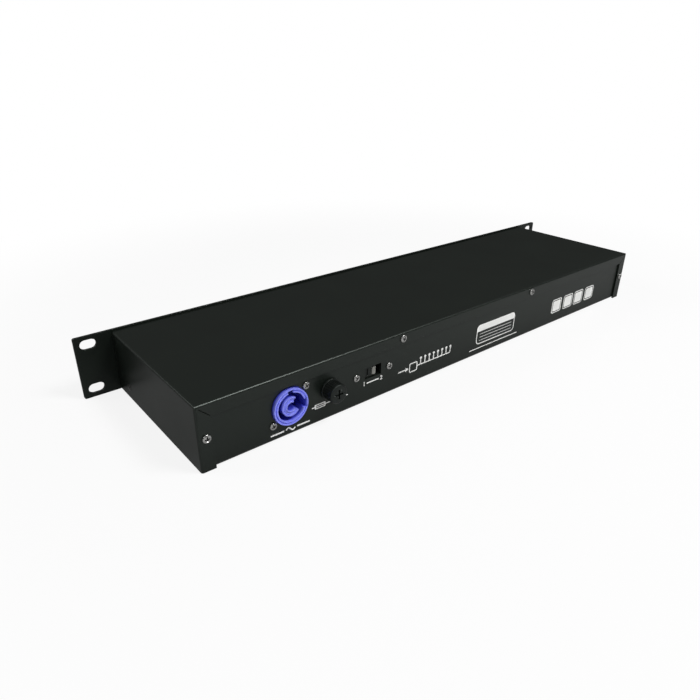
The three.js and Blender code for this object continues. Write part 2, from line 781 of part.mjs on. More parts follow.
function powerLamp() {
  const collarFront = panelBack + gap;
  const bodyBack = collarFront + lamp.bodyDepth;
  const legBack = bodyBack + lampLeg.width;
  const legs = [-1, 1].map((side) => block(
    [
      lampX + side * lampLeg.spacing / 2 - lampLeg.width / 2,
      lampX + side * lampLeg.spacing / 2 + lampLeg.width / 2,
    ],
    [bodyBack - lampLeg.width / 2, legBack],
    [boardTop + gap, connectorLine + lampLeg.width],
  ));
  const profile = [
    [0, frontFace - lamp.reach],
    [lamp.radius * domeShares.edge, frontFace - lamp.reach * domeShares.shoulder],
    [lamp.radius, frontFace],
    [lamp.radius, collarFront],
    [lamp.collarRadius, collarFront],
    [lamp.collarRadius, bodyBack],
    [0, bodyBack],
  ];
  const lens = turned(profile, [lampX, connectorLine], smallSides);
  return named("power_lamp", joined(lens, ...legs), finish.lampGreen);
}

// Rear wall: mains inlet, fuse holder and voltage selector

// Angles round the inlet are measured by someone who looks at the rear wall, from the right and upwards
function roundInlet(angle, radius) {
  return [inletX - radius * Math.cos(radians(angle)), inletLine + radius * Math.sin(radians(angle))];
}

function mainsInlet() {
  const mouth = wallOuter + inlet.proud;
  const flangeRear = wallInner - gap;
  const flangeInner = flangeRear - inlet.flangeThickness;
  const back = flangeRear - inlet.rearDepth;
  const cut = [mouth - inlet.grooveDepth, mouth + overrun];
  const centre = [inletX, inletLine];
  const flangeOutline = roundedOutline(
    [inletX - flange.height / 2, inletX + flange.height / 2],
    [inletLine - flange.width / 2, inletLine + flange.width / 2],
    Array(4).fill(flange.cornerRadius),
  );
  const groove = without(
    barY(inlet.grooveOuter, cut, centre, fineSides),
    barY(inlet.coreRadius, [cut[0] - overrun, cut[1] + overrun], centre),
  );
  const middle = (coreGapFrom + coreGapTo) / 2;
  const sector = new THREE.Shape([
    [middle, 0],
    [coreGapFrom, 2 * inlet.coreRadius],
    [middle, 2 * inlet.coreRadius],
    [coreGapTo, 2 * inlet.coreRadius],
  ].map(([angle, radius]) => new THREE.Vector2(...roundInlet(angle, radius))));
  const coreGap = plateY(sector, [mouth - inlet.coreGapDepth, mouth + overrun])
    .intersect(barY((inlet.coreRadius + inlet.grooveOuter) / 2, cut, centre));
  const notches = keyNotches.map(({ angle, width }) => {
    const reach = inlet.grooveOuter + notchReach;
    const turn = new THREE.BoxGeometry(reach, notchDepth, width);
    turn.translate(reach / 2, mouth - notchDepth / 2 + overrun, 0);
    turn.rotateY(radians(angle) + Math.PI);
    turn.translate(inletX, 0, inletLine);
    return solid(turn).subtract(barY(inlet.coreRadius + overrun, cut, centre));
  });
  const blades = [-1, 0, 1].map((step) => block(
    [inletX + step * blade.spread - blade.thickness / 2, inletX + step * blade.spread + blade.thickness / 2],
    [back - blade.length, back + overrun],
    [inletLine - blade.width / 2, inletLine + blade.width / 2],
  ));
  return named("mains_inlet", without(
    joined(
      plateY(flangeOutline, [flangeInner, flangeRear]),
      barY(inlet.noseRadius, [flangeInner, mouth], centre, fineSides),
      barY(inlet.rearRadius, [back, flangeInner + overrun], centre),
      ...blades,
    ),
    groove,
    barY(inlet.coreBore, cut, centre),
    coreGap,
    ...notches,
    ...shankHoles(inletScrewPlaces, smallScrew, [flangeInner - overrun, flangeRear + overrun]),
  ), finish.blueNylon);
}

const holderFace = wallOuter + gap + holder.flangeThickness;

function fuseHolderBody() {
  const back = wallOuter - holder.barrelDepth;
  const centre = [fuseX, rearLine];
  const terminal = block(
    [fuseX - holderTerminal.width / 2, fuseX + holderTerminal.width / 2],
    [back - holderTerminal.length, back + overrun],
    [rearLine - holderTerminal.thickness / 2, rearLine + holderTerminal.thickness / 2],
  );
  return named("fuse_holder_body", without(
    joined(
      barY(holder.barrelRadius + holder.flangeOverhang, [wallOuter + gap, holderFace], centre),
      barY(holder.barrelRadius, [back, holderFace - holder.flangeThickness / 2], centre),
      terminal,
    ),
    barY(holder.boreRadius, [wallOuter - holder.boreDepth, holderFace + overrun], centre),
  ), finish.blackNylon);
}

function fuseHolderNut() {
  const seat = wallInner - gap;
  const centre = [fuseX, rearLine];
  return named("fuse_holder_nut", without(
    barY(holderNut.radius, [seat - holderNut.thickness, seat], centre, nutSides),
    barY(
      holder.barrelRadius + shankFit, [seat - holderNut.thickness - overrun, seat + overrun], centre,
    ),
  ), finish.blackNylon);
}

const capBack = holderFace + gap;
const stemEnd = capBack - cap.stemLength;

function fuseCap() {
  const face = capBack + cap.length;
  const profile = [
    [0, stemEnd],
    [cap.stemRadius, stemEnd],
    [cap.stemRadius, capBack],
    [cap.radius, capBack],
    [cap.radius, face - cap.edge],
    [cap.radius - cap.edge, face],
    [0, face],
  ];
  const half = capCross.width / 2;
  const arm = capCross.length / 2;
  const cut = [face - capCross.depth, face + overrun];
  return named("fuse_cap", without(
    turned(profile, [fuseX, rearLine]),
    barY(cap.pocketRadius, [stemEnd - overrun, stemEnd + cap.pocketDepth], [fuseX, rearLine], smallSides),
    block([fuseX - arm, fuseX + arm], cut, [rearLine - half, rearLine + half]),
    block([fuseX - half, fuseX + half], cut, [rearLine - arm, rearLine + arm]),
  ), finish.blackNylon);
}

function fuse() {
  const end = stemEnd + cap.pocketDepth - gap;
  const start = end - fuseBody.length;
  const centre = [fuseX, rearLine];
  return named("fuse", joined(
    barY(fuseBody.radius, [start, start + fuseBody.ferruleLength], centre, smallSides),
    barY(fuseBody.glassRadius, [start, end], centre, smallSides),
    barY(fuseBody.radius, [end - fuseBody.ferruleLength, end], centre, smallSides),
  ), finish.glass);
}

const windowLine = rearLine + selectorWindowLift;
const selectorFront = wallInner - gap;

function selectorBody() {
  const back = selectorFront - selector.depth;
  const screwSpan = [selectorFront - smallScrew.shankLength, selectorFront + overrun];
  const terminals = [-1, 0, 1].map((step) => block(
    [
      selectorX + step * selectorTerminal.pitch - selectorTerminal.width / 2,
      selectorX + step * selectorTerminal.pitch + selectorTerminal.width / 2,
    ],
    [back - selectorTerminal.length, back + overrun],
    [rearLine - selectorTerminal.thickness / 2, rearLine + selectorTerminal.thickness / 2],
  ));
  return named("selector_body", without(
    joined(
      block(
        [selectorX - selector.width / 2, selectorX + selector.width / 2],
        [back, selectorFront],
        [rearLine - selector.height / 2, rearLine + selector.height / 2],
      ),
      ...terminals,
    ),
    block(
      [selectorX - selector.windowWidth / 2, selectorX + selector.windowWidth / 2],
      [selectorFront - selector.pocketDepth, selectorFront + overrun],
      [windowLine - selector.windowHeight / 2, windowLine + selector.windowHeight / 2],
    ),
    ...shankHoles(selectorScrewPlaces, smallScrew, screwSpan),
  ), finish.blackNylon);
}

function selectorSlider() {
  const right = selectorX + sliderTravel / 2 + slider.width / 2;
  const left = right - slider.width;
  const root = selectorFront - selector.pocketDepth + runningFit;
  const face = wallOuter - slider.setback;
  const groove = right - slider.slotInset;
  return named("selector_slider", without(
    joined(
      block([left, right], [root, face], [windowLine - slider.height / 2, windowLine + slider.height / 2]),
      block(
        [left + sliderRidge.inset, left + sliderRidge.inset + sliderRidge.width],
        [root, face + sliderRidge.rise],
        [windowLine - sliderRidge.height / 2, windowLine + sliderRidge.height / 2],
      ),
    ),
    block(
      [groove - slider.slotWidth / 2, groove + slider.slotWidth / 2],
      [face - slider.slotDepth, face + overrun],
      [windowLine - slider.slotLength / 2, windowLine + slider.slotLength / 2],
    ),
  ), finish.paleAcetal);
}

// Inside: circuit board, transformer and the wiring between inlet and switch

function mainBoard() {
  const left = firstInputX - board.margin;
  const wideRight = transformerX - boardShortfall - core.width / 2;
  const stripRight = lampX + board.lampMargin;
  const front = caseFront + sheet + gap;
  const rear = caseFront + board.depth;
  const stripRear = caseFront + board.frontStrip;
  const span = [board.lift, boardTop];
  const top = boardTop - board.thickness / 2;
  const parts = [];
  for (let i = 0; i < outputCount - 1; i += 1) {
    const x = firstOutputX + i * channelPitch;
    const step = (rear - stripRear) / boardRows;
    parts.push(block(
      [x - converter.width / 2, x + converter.width / 2],
      [stripRear + step, stripRear + step + converter.depth],
      [top, boardTop + converter.height],
    ));
    parts.push(block(
      [x - driver.width / 2, x + driver.width / 2],
      [stripRear + 2 * step, stripRear + 2 * step + driver.depth],
      [top, boardTop + driver.height],
    ));
    parts.push(block(
      [x - receiver.width / 2, x + receiver.width / 2],
      [stripRear + 3 * step, stripRear + 3 * step + receiver.depth],
      [top, boardTop + receiver.height],
    ));
  }
  for (let i = 0; i < capacitor.count; i += 1) {
    parts.push(barZ(
      capacitor.radius,
      [top, boardTop + capacitor.height],
      [firstInputX + i * capacitor.pitch, (stripRear + rear) / 2],
      smallSides,
    ));
  }
  return named("main_board", joined(
    block([left, stripRight], [front, stripRear], span),
    block([left, wideRight], [front, rear], span),
    ...parts,
  ), finish.laminate);
}

function transformer() {
  const base = sheet + gap;
  const middle = -transformerSetback;
  return named("transformer", joined(
    block(
      [transformerX - core.footLength / 2, transformerX + core.footLength / 2],
      [middle - core.depth / 2, middle + core.depth / 2],
      [base, base + core.footThickness],
    ),
    block(
      [transformerX - core.width / 2, transformerX + core.width / 2],
      [middle - core.depth / 2, middle + core.depth / 2],
      [base, base + core.height],
    ),
    block(
      [transformerX - coil.width / 2, transformerX + coil.width / 2],
      [middle - coil.depth / 2, middle + coil.depth / 2],
      [base + (core.height - coil.height) / 2, base + (core.height + coil.height) / 2],
    ),
  ), finish.coreSteel);
}

// The loom's route, chosen by hand, from the rear of the inlet to the rear of the switch
const loomRoute = [
  [168, 31.1, 20.6],
  [168, 28, 20.6],
  [174, 24.8, 16],
  [187, 22, 10],
  [201, 12, 7],
  [207, -8, 7.5],
  [205, -26, 13],
  [197, -38, 21.8],
  [197, -44.6, 21.8],
];

function mainsLoom() {
  const ring = Array.from({ length: loomSides }, (_, i) => {
    const angle = 2 * Math.PI * i / loomSides;
    return new THREE.Vector2(loomRadius * Math.cos(angle), loomRadius * Math.sin(angle));
  });
  const route = new THREE.CatmullRomCurve3(loomRoute.map((point) => new THREE.Vector3(...point)));
  const made = new THREE.ExtrudeGeometry(new THREE.Shape(ring), {
    steps: loomSteps, bevelEnabled: false, extrudePath: route,
  });
  return named("mains_loom", solid(made), finish.cable);
}

// Everything together

function inputChannel(letter, x) {
  const channel = grouped(inputShell(`input_${letter}_shell`), inputInsert(`input_${letter}_pins`));
  channel.position.x = x;
  return channel;
}

function outputChannel(number, x) {
  const toggleSwitch = grouped(toggleBody(`toggle_${number}_body`), toggleLever(`toggle_${number}_lever`));
  toggleSwitch.position.x = toggleOffset;
  const channel = grouped(
    outputSocket(`output_${number}_socket`), outputLatch(`output_${number}_latch`), toggleSwitch,
  );
  channel.position.x = x;
  return channel;
}

const caseGroup = grouped(chassisTray(), topCover(), frontPanel());
for (const [name, place] of Object.entries(coverScrewPlaces)) {
  caseGroup.add(rearScrew(name, coverScrew, caseDepth / 2, place));
}

const rearGroup = grouped(
  mainsInlet(), fuseHolderBody(), fuseHolderNut(), fuseCap(), fuse(), selectorBody(), selectorSlider(),
);
for (const [name, place] of Object.entries({ ...inletScrewPlaces, ...selectorScrewPlaces })) {
  rearGroup.add(rearScrew(name, smallScrew, wallOuter, place));
}

const frontGroup = grouped(powerSwitchBody(), powerRocker(), powerLamp());
for (let i = 0; i < inputCount; i += 1) {
  frontGroup.add(inputChannel("ab"[i], firstInputX + i * channelPitch));
}
for (let i = 0; i < outputCount; i += 1) {
  frontGroup.add(outputChannel(i + 1, firstOutputX + i * channelPitch));
}

const splitter = grouped(caseGroup, rearGroup, frontGroup, mainBoard(), transformer(), mainsLoom());

export default splitter;
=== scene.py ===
# %% [markdown]
# # A rack splitter for stage lighting data
#
# The object is a flat steel box, one rack unit high, that copies one lighting signal to eight lines. The CAD
# model holds every piece at its real size. This script gives each piece its finish and its finer shape, and
# puts a camera and lights round it. Shapes are worked out in millimetres, as a maker's drawing is, and are
# scaled to Blender's metres by `MM` when they become pieces of the object.

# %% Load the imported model
import json
import math

import bmesh
import bpy
from mathutils import Matrix, Vector


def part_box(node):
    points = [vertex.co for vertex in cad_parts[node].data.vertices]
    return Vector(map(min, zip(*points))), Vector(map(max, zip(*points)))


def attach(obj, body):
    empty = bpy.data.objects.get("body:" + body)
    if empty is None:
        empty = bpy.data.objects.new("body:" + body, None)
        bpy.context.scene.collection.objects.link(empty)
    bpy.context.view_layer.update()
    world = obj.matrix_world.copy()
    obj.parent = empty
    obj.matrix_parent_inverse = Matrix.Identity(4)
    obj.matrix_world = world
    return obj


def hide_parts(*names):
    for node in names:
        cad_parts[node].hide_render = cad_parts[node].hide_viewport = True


MM = 0.001
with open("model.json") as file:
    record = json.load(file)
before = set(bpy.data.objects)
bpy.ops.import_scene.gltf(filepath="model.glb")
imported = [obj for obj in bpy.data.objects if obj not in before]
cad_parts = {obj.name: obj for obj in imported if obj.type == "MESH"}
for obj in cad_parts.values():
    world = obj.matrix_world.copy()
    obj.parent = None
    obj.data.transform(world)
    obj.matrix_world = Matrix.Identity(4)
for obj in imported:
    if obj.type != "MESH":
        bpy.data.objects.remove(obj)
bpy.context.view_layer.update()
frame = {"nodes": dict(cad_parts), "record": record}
nodes = frame["nodes"]


def new_object(name, data):
    """A new object in the scene."""
    made = bpy.data.objects.new(name, data)
    bpy.context.scene.collection.objects.link(made)
    return made


# %% [markdown]
# ## Camera
#
# The camera was fitted to the edges of the panel and the case in the photograph: it stands behind the box, to
# its right, and looks 26 degrees down. A camera's own axes are right, up and back, so its matrix is those three
# directions side by side, turned a little by the roll.

# %% Camera
AZIMUTH, ELEVATION, ROLL = (math.radians(angle) for angle in (140.722, 26.301, 0.395))
AIM = Vector((64.561, 0.0, 5.536)) * MM
DISTANCE = 448.727 * MM
LENS, SENSOR_WIDTH = 30.535, 36

back = Vector((
    math.sin(AZIMUTH) * math.cos(ELEVATION), -math.cos(AZIMUTH) * math.cos(ELEVATION), math.sin(ELEVATION),
))
level = Vector((0, 0, 1)).cross(back).normalized()
upward = back.cross(level)
right = math.cos(ROLL) * level + math.sin(ROLL) * upward
upward = math.cos(ROLL) * upward - math.sin(ROLL) * level

camera = new_object("camera", bpy.data.cameras.new("camera"))
camera.data.lens, camera.data.sensor_width, camera.data.clip_start = LENS, SENSOR_WIDTH, 0.01
camera.matrix_world = (
    Matrix.Translation(AIM + back * DISTANCE) @ Matrix((right, upward, back)).transposed().to_4x4()
)
bpy.context.scene.camera = camera
bpy.context.scene.view_settings.view_transform = "Standard"
print("camera at", [round(v, 3) for v in camera.matrix_world.translation])

# %% [markdown]
# ## Two small helpers for nodes
#
# Every material, world and shape tree below is made of nodes. `add` makes one node, writes its settings, and
# fills its inputs: a plain value is written, and another node's output is linked. `linear` turns a colour as a
# screen shows it, written as hex, into the linear numbers that a shader reckons with.

# %% Helpers for nodes


def linear(hex_colour, alpha=1.0):
    """The linear RGBA of an sRGB colour written as rrggbb."""
    channels = [int(hex_colour[i : i + 2], 16) / 255 for i in (0, 2, 4)]
    return [c / 12.92 if c <= 0.04045 else ((c + 0.055) / 1.055) ** 2.4 for c in channels] + [alpha]


def add(tree, kind, inputs=None, **settings):
    """A new node of the tree, with its settings, and its inputs written or linked."""
    node = tree.nodes.new(kind)
    for name, value in settings.items():
        setattr(node, name, value)
    for key, value in (inputs or {}).items():
        if isinstance(value, bpy.types.NodeSocket):
            tree.links.new(value, node.inputs[key])
        else:
            node.inputs[key].default_value = value
    return node


# %% [markdown]
# ## Studio
#
# The photograph is a cut-out on white, so the world is white to the camera. Satin paint and plated metal mirror
# it too, so glossy rays see white at the horizon behind the box, where the sweep stands. Over it are the studio's
# dark walls and a dim ceiling, which is why the top of the box looks darker than its sides. A colour ramp holds
# these levels, read by the height of the ray's direction. Diffuse light comes from a dim fill and from the lamps.

# %% World
FILL_LEVEL = 0.12
# height of a ray's direction, and the level that a glossy surface sees there
MIRRORED = [(0.0, 1.0), (0.05, 0.02), (0.32, 0.015), (0.5, 0.15), (0.8, 0.25)]
# before the box, where no sweep stands, the dark walls come down by this height
NO_SWEEP = 0.06

world = bpy.data.worlds.new("studio")
bpy.context.scene.world = world
world.use_nodes = True
sky = world.node_tree
sky.nodes.clear()
rays = add(sky, "ShaderNodeLightPath").outputs
direction = add(sky, "ShaderNodeTexCoord").outputs["Generated"]
axes = add(sky, "ShaderNodeSeparateXYZ", {0: direction}).outputs
no_sweep = add(sky, "ShaderNodeMapRange", {
    "Value": axes["Y"], "From Min": -0.1, "From Max": 0.1, "To Min": NO_SWEEP, "To Max": 0.0,
}).outputs[0]
height = add(sky, "ShaderNodeMath", {0: axes["Z"], 1: no_sweep}, operation="ADD").outputs[0]
ramp = add(sky, "ShaderNodeValToRGB", {0: height})
steps = ramp.color_ramp.elements
steps[0].color, steps[1].position = (1, 1, 1, 1), MIRRORED[1][0]
for place, level in MIRRORED[1:]:
    step = steps[1] if place == MIRRORED[1][0] else steps.new(place)
    step.color = (level, level, level, 1.0)
mirrored = add(sky, "ShaderNodeMath", {
    0: rays["Is Glossy Ray"], 1: rays["Is Transmission Ray"],
}, operation="MAXIMUM").outputs[0]
strength = add(sky, "ShaderNodeMix", {0: mirrored, 2: FILL_LEVEL, 3: ramp.outputs["Color"]}).outputs[0]
strength = add(sky, "ShaderNodeMix", {0: rays["Is Camera Ray"], 2: strength, 3: 1.0}).outputs[0]
white = add(sky, "ShaderNodeBackground", {"Color": linear("ffffff"), "Strength": strength})
add(sky, "ShaderNodeOutputWorld", {"Surface": white.outputs[0]})
print("world:", len(sky.nodes), "nodes,", len(steps), "levels")

# %% Lamps
LAMPS = {  # place, aim, side in metres and power in watts of each softbox
    "softbox_behind": ((-0.36, 0.69, 1.16), (0.1, 0.0, 0.0), 0.42, 14),
    "softbox_left": ((1.5, 0.9, 1.3), (0.0, 0.0, 0.0), 0.9, 8),
    "softbox_front": ((1.5, -1.0, 1.1), (0.0, 0.0, 0.0), 0.9, 11),
}
for name, (place, aim, side, power) in LAMPS.items():
    lamp = bpy.data.lights.new(name, "AREA")
    lamp.shape, lamp.size, lamp.size_y, lamp.energy = "RECTANGLE", side, side, power
    softbox = new_object(name, lamp)
    softbox.location = place
    softbox.rotation_euler = (Vector(aim) - Vector(place)).to_track_quat("-Z", "Y").to_euler()
print("lamps:", *LAMPS)

# %% Floor
FRONT_LEVEL, REAR_LEVEL = 0.19, 0.51  # how bright the floor looks in a reflection, before and behind the box
FRONT_PLACE, REAR_PLACE = 0.03, 0.12  # metres along Y, between which that level changes
# near the box a share of the paper is plain white, and the rest takes its shadow; far from it all is white
NEAR, FAR, NEAR_SHARE = 0.25, 0.55, 0.85
REACH = 8.0
floor_mesh = bpy.data.meshes.new("floor")
floor_mesh.from_pydata(
    [(-REACH, -REACH, 0), (REACH, -REACH, 0), (REACH, REACH, 0), (-REACH, REACH, 0)], [], [(0, 1, 2, 3)],
)
floor = new_object("floor", floor_mesh)
floor.location.z = -0.2 * MM

paper = bpy.data.materials.new("white_paper")
paper.use_nodes = True
tree = paper.node_tree
tree.nodes.clear()
rays = add(tree, "ShaderNodeLightPath").outputs
place = add(tree, "ShaderNodeTexCoord").outputs["Object"]
away = add(tree, "ShaderNodeVectorMath", {0: place}, operation="LENGTH").outputs["Value"]
plain = add(tree, "ShaderNodeMapRange", {
    "Value": away, "From Min": NEAR, "From Max": FAR, "To Min": NEAR_SHARE, "To Max": 1.0,
}, interpolation_type="SMOOTHSTEP").outputs[0]
shown = rays["Is Camera Ray"]
for kind in ("Is Glossy Ray", "Is Transmission Ray"):
    shown = add(tree, "ShaderNodeMath", {0: shown, 1: rays[kind]}, operation="MAXIMUM").outputs[0]
share = add(tree, "ShaderNodeMath", {0: shown, 1: plain}, operation="MULTIPLY").outputs[0]
lit = add(tree, "ShaderNodeBsdfDiffuse", {"Color": linear("f0f0f0")})
across = add(tree, "ShaderNodeSeparateXYZ", {0: place}).outputs["Y"]
mirrored = add(tree, "ShaderNodeMapRange", {
    "Value": across, "From Min": FRONT_PLACE, "From Max": REAR_PLACE, "To Min": FRONT_LEVEL, "To Max": REAR_LEVEL,
}, interpolation_type="SMOOTHSTEP").outputs[0]
bright = add(tree, "ShaderNodeMix", {0: rays["Is Camera Ray"], 2: mirrored, 3: 1.0}).outputs[0]
glow = add(tree, "ShaderNodeEmission", {"Color": linear("ffffff"), "Strength": bright})
mixed = add(tree, "ShaderNodeMixShader", {0: share, 1: lit.outputs[0], 2: glow.outputs[0]})
add(tree, "ShaderNodeOutputMaterial", {"Surface": mixed.outputs[0]})
floor_mesh.materials.append(paper)
print("floor:", 2 * REACH, "m wide,", len(tree.nodes), "nodes in its paper")

# %% [markdown]
# ## Finishes
#
# Each finish starts from what the real surface is. The pattern in it reads the piece's Object coordinates, which
# are metres in the shared frame, so a scale is one over the size of the pattern's features. `started` makes the
# shader with its plain values, and gives back what a pattern needs. `finished` lets the pattern into it.

# %% Starting and ending a finish


def started(name, **plain):
    """A new material: its node tree, its shader, and the object coordinates that its patterns read."""
    material = bpy.data.materials.new(name)
    material.use_nodes = True
    tree = material.node_tree
    tree.nodes.clear()
    shader = add(tree, "ShaderNodeBsdfPrincipled", {key.replace("_", " "): value for key, value in plain.items()})
    add(tree, "ShaderNodeOutputMaterial", {"Surface": shader.outputs[0]})
    place = add(tree, "ShaderNodeTexCoord").outputs["Object"]
    return material, tree, shader, place


def finished(tree, shader, pattern, colours, roughness, relief, depth):
    """Lets a pattern set the colour and roughness between two values, and a relief of a depth in millimetres."""
    dark, light = (linear(colour) for colour in colours)
    blended = add(tree, "ShaderNodeMix", {0: pattern, 6: dark, 7: light}, data_type="RGBA")
    tree.links.new(blended.outputs[2], shader.inputs["Base Color"])
    uneven = add(tree, "ShaderNodeMapRange", {
        "Value": pattern, "From Min": 0.3, "From Max": 0.7, "To Min": roughness[0], "To Max": roughness[1],
    })
    tree.links.new(uneven.outputs[0], shader.inputs["Roughness"])
    bump = add(tree, "ShaderNodeBump", {"Strength": 1.0, "Distance": depth * MM, "Height": relief})
    tree.links.new(bump.outputs[0], shader.inputs["Normal"])


# %% [markdown]
# ### Powder coat
#
# The case is steel sheet under a black powder coat, sprayed as dust and baked. It flows out almost level, and
# keeps a faint orange-peel waviness with a grain in it. To the eye it is near black, with a broad, soft
# gloss that lifts toward the horizon.

# %% Powder coat


def powder_coat():
    """Black satin powder coat: orange peel about 1 mm across and 4 micrometres deep, with a finer grain."""
    material, tree, shader, place = started("black_satin_powder_coat", IOR=1.5, Specular_Tint=linear("f4fff8"))
    cloud, peel, grain = (
        add(tree, "ShaderNodeTexNoise", {"Vector": place, "Scale": 1 / (size * MM), "Detail": detail}).outputs["Fac"]
        for size, detail in ((30, 2.0), (1.1, 3.0), (0.3, 2.0))
    )
    height = add(tree, "ShaderNodeMath", {0: grain, 1: 0.3, 2: peel}, operation="MULTIPLY_ADD").outputs[0]
    finished(tree, shader, cloud, ("090e0a", "0d130e"), (0.36, 0.39), height, 0.004)
    return material


# %% [markdown]
# ### Moulded plastics
#
# The inlet is blue nylon, the holder, cap, selector, switch and sockets are black nylon, and the selector's
# slider is pale acetal. All are moulded in a spark-eroded tool, which prints a fine, even grain: a soft sheen
# with no streaks. The grain is drawn at 0.25 mm, a little coarser than it is, so that it shows.

# %% Moulded plastics


def moulded(name, colours, roughness, **plain):
    """A moulded plastic with a fine tool grain."""
    material, tree, shader, place = started(name, **plain)
    flow, grain = (
        add(tree, "ShaderNodeTexNoise", {"Vector": place, "Scale": 1 / (size * MM)}).outputs["Fac"]
        for size in (6, 0.25)
    )
    finished(tree, shader, flow, colours, roughness, grain, 0.006)
    return material


# %% [markdown]
# ### Plated metals
#
# The screws are zinc plated and passivated, which leaves a cool, slightly streaky mirror. The latches,
# toggles and shells are satin nickel: softer, and a little yellow. The contacts are gold. A metal's colour is its
# reflection, so only roughness and colour vary, from a cloud a few tenths of a millimetre across. In them, and in
# all the finishes that follow, one texture sets the colour, the gloss and the relief, so `patterned` makes them.

# %% Plated metals
CLOUD, BRICKS = ("ShaderNodeTexNoise", "Fac"), ("ShaderNodeTexBrick", "Fac")
BANDS, CELLS = ("ShaderNodeTexWave", "Fac"), ("ShaderNodeTexVoronoi", "Distance")


def patterned(name, texture, size, colours, roughness, depth, details=None, settings=None, **plain):
    """A finish with one texture, whose features have this size and whose relief has this depth, in millimetres."""
    material, tree, shader, place = started(name, **plain)
    kind, output = texture
    given = {"Vector": place, "Scale": 1 / (size * MM), **(details or {})}
    pattern = add(tree, kind, given, **(settings or {})).outputs[output]
    finished(tree, shader, pattern, colours, roughness, pattern, depth)
    return material


def plated(name, colours, roughness, size):
    """A plated metal, whose colour and roughness drift between two values over spots of this size."""
    details = {"Detail": 4.0, "Roughness": 0.6}
    return patterned(name, CLOUD, size, colours, roughness, 0.003, details, Metallic=1.0)


# %% [markdown]
# ### What is clear, and what is inside
#
# The fuse's tube is clear glass and the lamp's lens is green polycarbonate, so both let light through. The
# inside of the case is only seen when it is open: a green circuit laminate whose copper tracks show under the
# mask, a transformer of varnished steel laminations half a millimetre thick, and black sleeved wires. The print
# is white ink, and the shade in the bottoms of the screws' recesses is painted, as a near-black matt film.

# %% Palette
FINISH = {
    "powder_coat": powder_coat(),
    # the connectors' screws are blackened zinc, and on the low side screws the black has worn to grey
    "zinc_plate": plated("passivated_zinc", ("ababa9", "cacac7"), (0.2, 0.32), 0.6),
    "nickel_plate": plated("satin_nickel", ("a39f97", "bab6ad"), (0.24, 0.34), 0.4),
    "gold_plate": plated("hard_gold_contact", ("c9983c", "dcb055"), (0.2, 0.3), 0.3),
    "black_zinc": plated("black_zinc", ("1a1a1b", "2b2b2d"), (0.3, 0.42), 0.5),
    "worn_zinc": plated("worn_black_zinc", ("5a5a59", "7c7c7a"), (0.26, 0.4), 0.5),
    "blue_nylon": moulded("moulded_blue_nylon", ("828afa", "8e96ff"), (0.3, 0.42), IOR=1.53),
    "black_nylon": moulded(
        "moulded_black_nylon", ("040605", "080b09"), (0.42, 0.54), IOR=1.53, Specular_Tint=linear("eefaf3"),
    ),
    "pale_acetal": moulded("moulded_pale_acetal", ("7c7c78", "888882"), (0.35, 0.45), IOR=1.48),
    # painted shade for the bottoms of the screws' recesses: nearly black and matt, with the same fine grain
    "recess_shade": moulded("painted_recess_shade", ("050505", "0b0a09"), (0.5, 0.7), IOR=1.47),
    # the fuse's tube is drawn from the melt: smooth, with faint waves along it
    "glass": patterned(
        "clear_drawn_glass", CLOUD, 3, ("eef4f1", "f8fbfa"), (0.02, 0.04), 0.01, IOR=1.5, Transmission_Weight=1.0,
    ),
    # the lamp's moulded lens scatters light a little
    "lamp_green": patterned(
        "green_polycarbonate", CLOUD, 0.8, ("1f8f34", "3fc957"), (0.12, 0.2), 0.002,
        IOR=1.58, Transmission_Weight=0.6,
    ),
    # glass laminate under a green mask, with tracks 6 mm apart that stand slightly proud
    "circuit_laminate": patterned(
        "green_circuit_laminate", BRICKS, 6, ("17452a", "3f8a52"), (0.3, 0.4), 0.03,
        {"Mortar Size": 0.08, "Mortar Smooth": 0.1}, IOR=1.5,
    ),
    # stamped steel sheets, stacked along Y and dipped in varnish; a wave texture has 20 bands to its unit
    "core_steel": patterned(
        "varnished_laminations", BANDS, 20 * 0.5, ("4a463e", "77725f"), (0.4, 0.6), 0.05,
        {"Distortion": 0.4, "Detail": 1.0}, {"bands_direction": "Y"}, Metallic=0.6,
    ),
    # crossed threads of a braided sleeve, about half a millimetre apart
    "cable_pvc": patterned("black_braided_sleeve", CELLS, 0.6, ("202022", "0e0e10"), (0.55, 0.7), 0.05, IOR=1.5),
    # screen-printed ink: a thin, matt film with pinholes
    "ink": patterned(
        "white_screen_print", CLOUD, 0.35, ("e4e5e2", "fbfbf9"), (0.5, 0.65), 0.004, {"Detail": 3.0}, IOR=1.45,
    ),
}
slots = {part["node"]: part["material_slot"] for part in frame["record"]["subparts"]}
for name, node in nodes.items():
    node.data.materials.clear()
    node.data.materials.append(FINISH[slots[name]])
print("finishes:", len(FINISH))

# %% [markdown]
# ## Shapes
#
# A maker would turn, punch, mill and fold these pieces, so the helpers are those steps: a `block` between
# limits, a `prism` drawn out from an outline, a `turned` piece from its radii, and the two things done with
# them, `fused` and `carved`. They work on plain meshes in millimetres. Nearly every piece lies along Y, from the
# front to the rear, so a `beam` and a `bar` are drawn round a line along Y.

# %% Drawing solids
ROUND = 64  # sides of a round piece that is seen close
FINE = 32  # sides of a small one
BEND_STEPS = 8
OVERRUN = 1.0  # how far a cut runs past a face


def mesh_of(form):
    """The bmesh as a mesh, with its faces turned outwards."""
    bmesh.ops.recalc_face_normals(form, faces=form.faces)
    shape = bpy.data.meshes.new("shape")
    form.to_mesh(shape)
    form.free()
    return shape


def prism(axis, span, outline):
    """An outline drawn out along an axis. Its points are in the two other axes, in the order x, y, z."""
    spot = {"X": lambda u, v, w: (w, u, v), "Y": lambda u, v, w: (u, w, v), "Z": lambda u, v, w: (u, v, w)}[axis]
    form = bmesh.new()
    low, high = ([form.verts.new(spot(u, v, w)) for u, v in outline] for w in span)
    form.faces.new(low)
    form.faces.new(high)
    for i in range(len(outline)):
        form.faces.new((low[i - 1], low[i], high[i], high[i - 1]))
    return mesh_of(form)


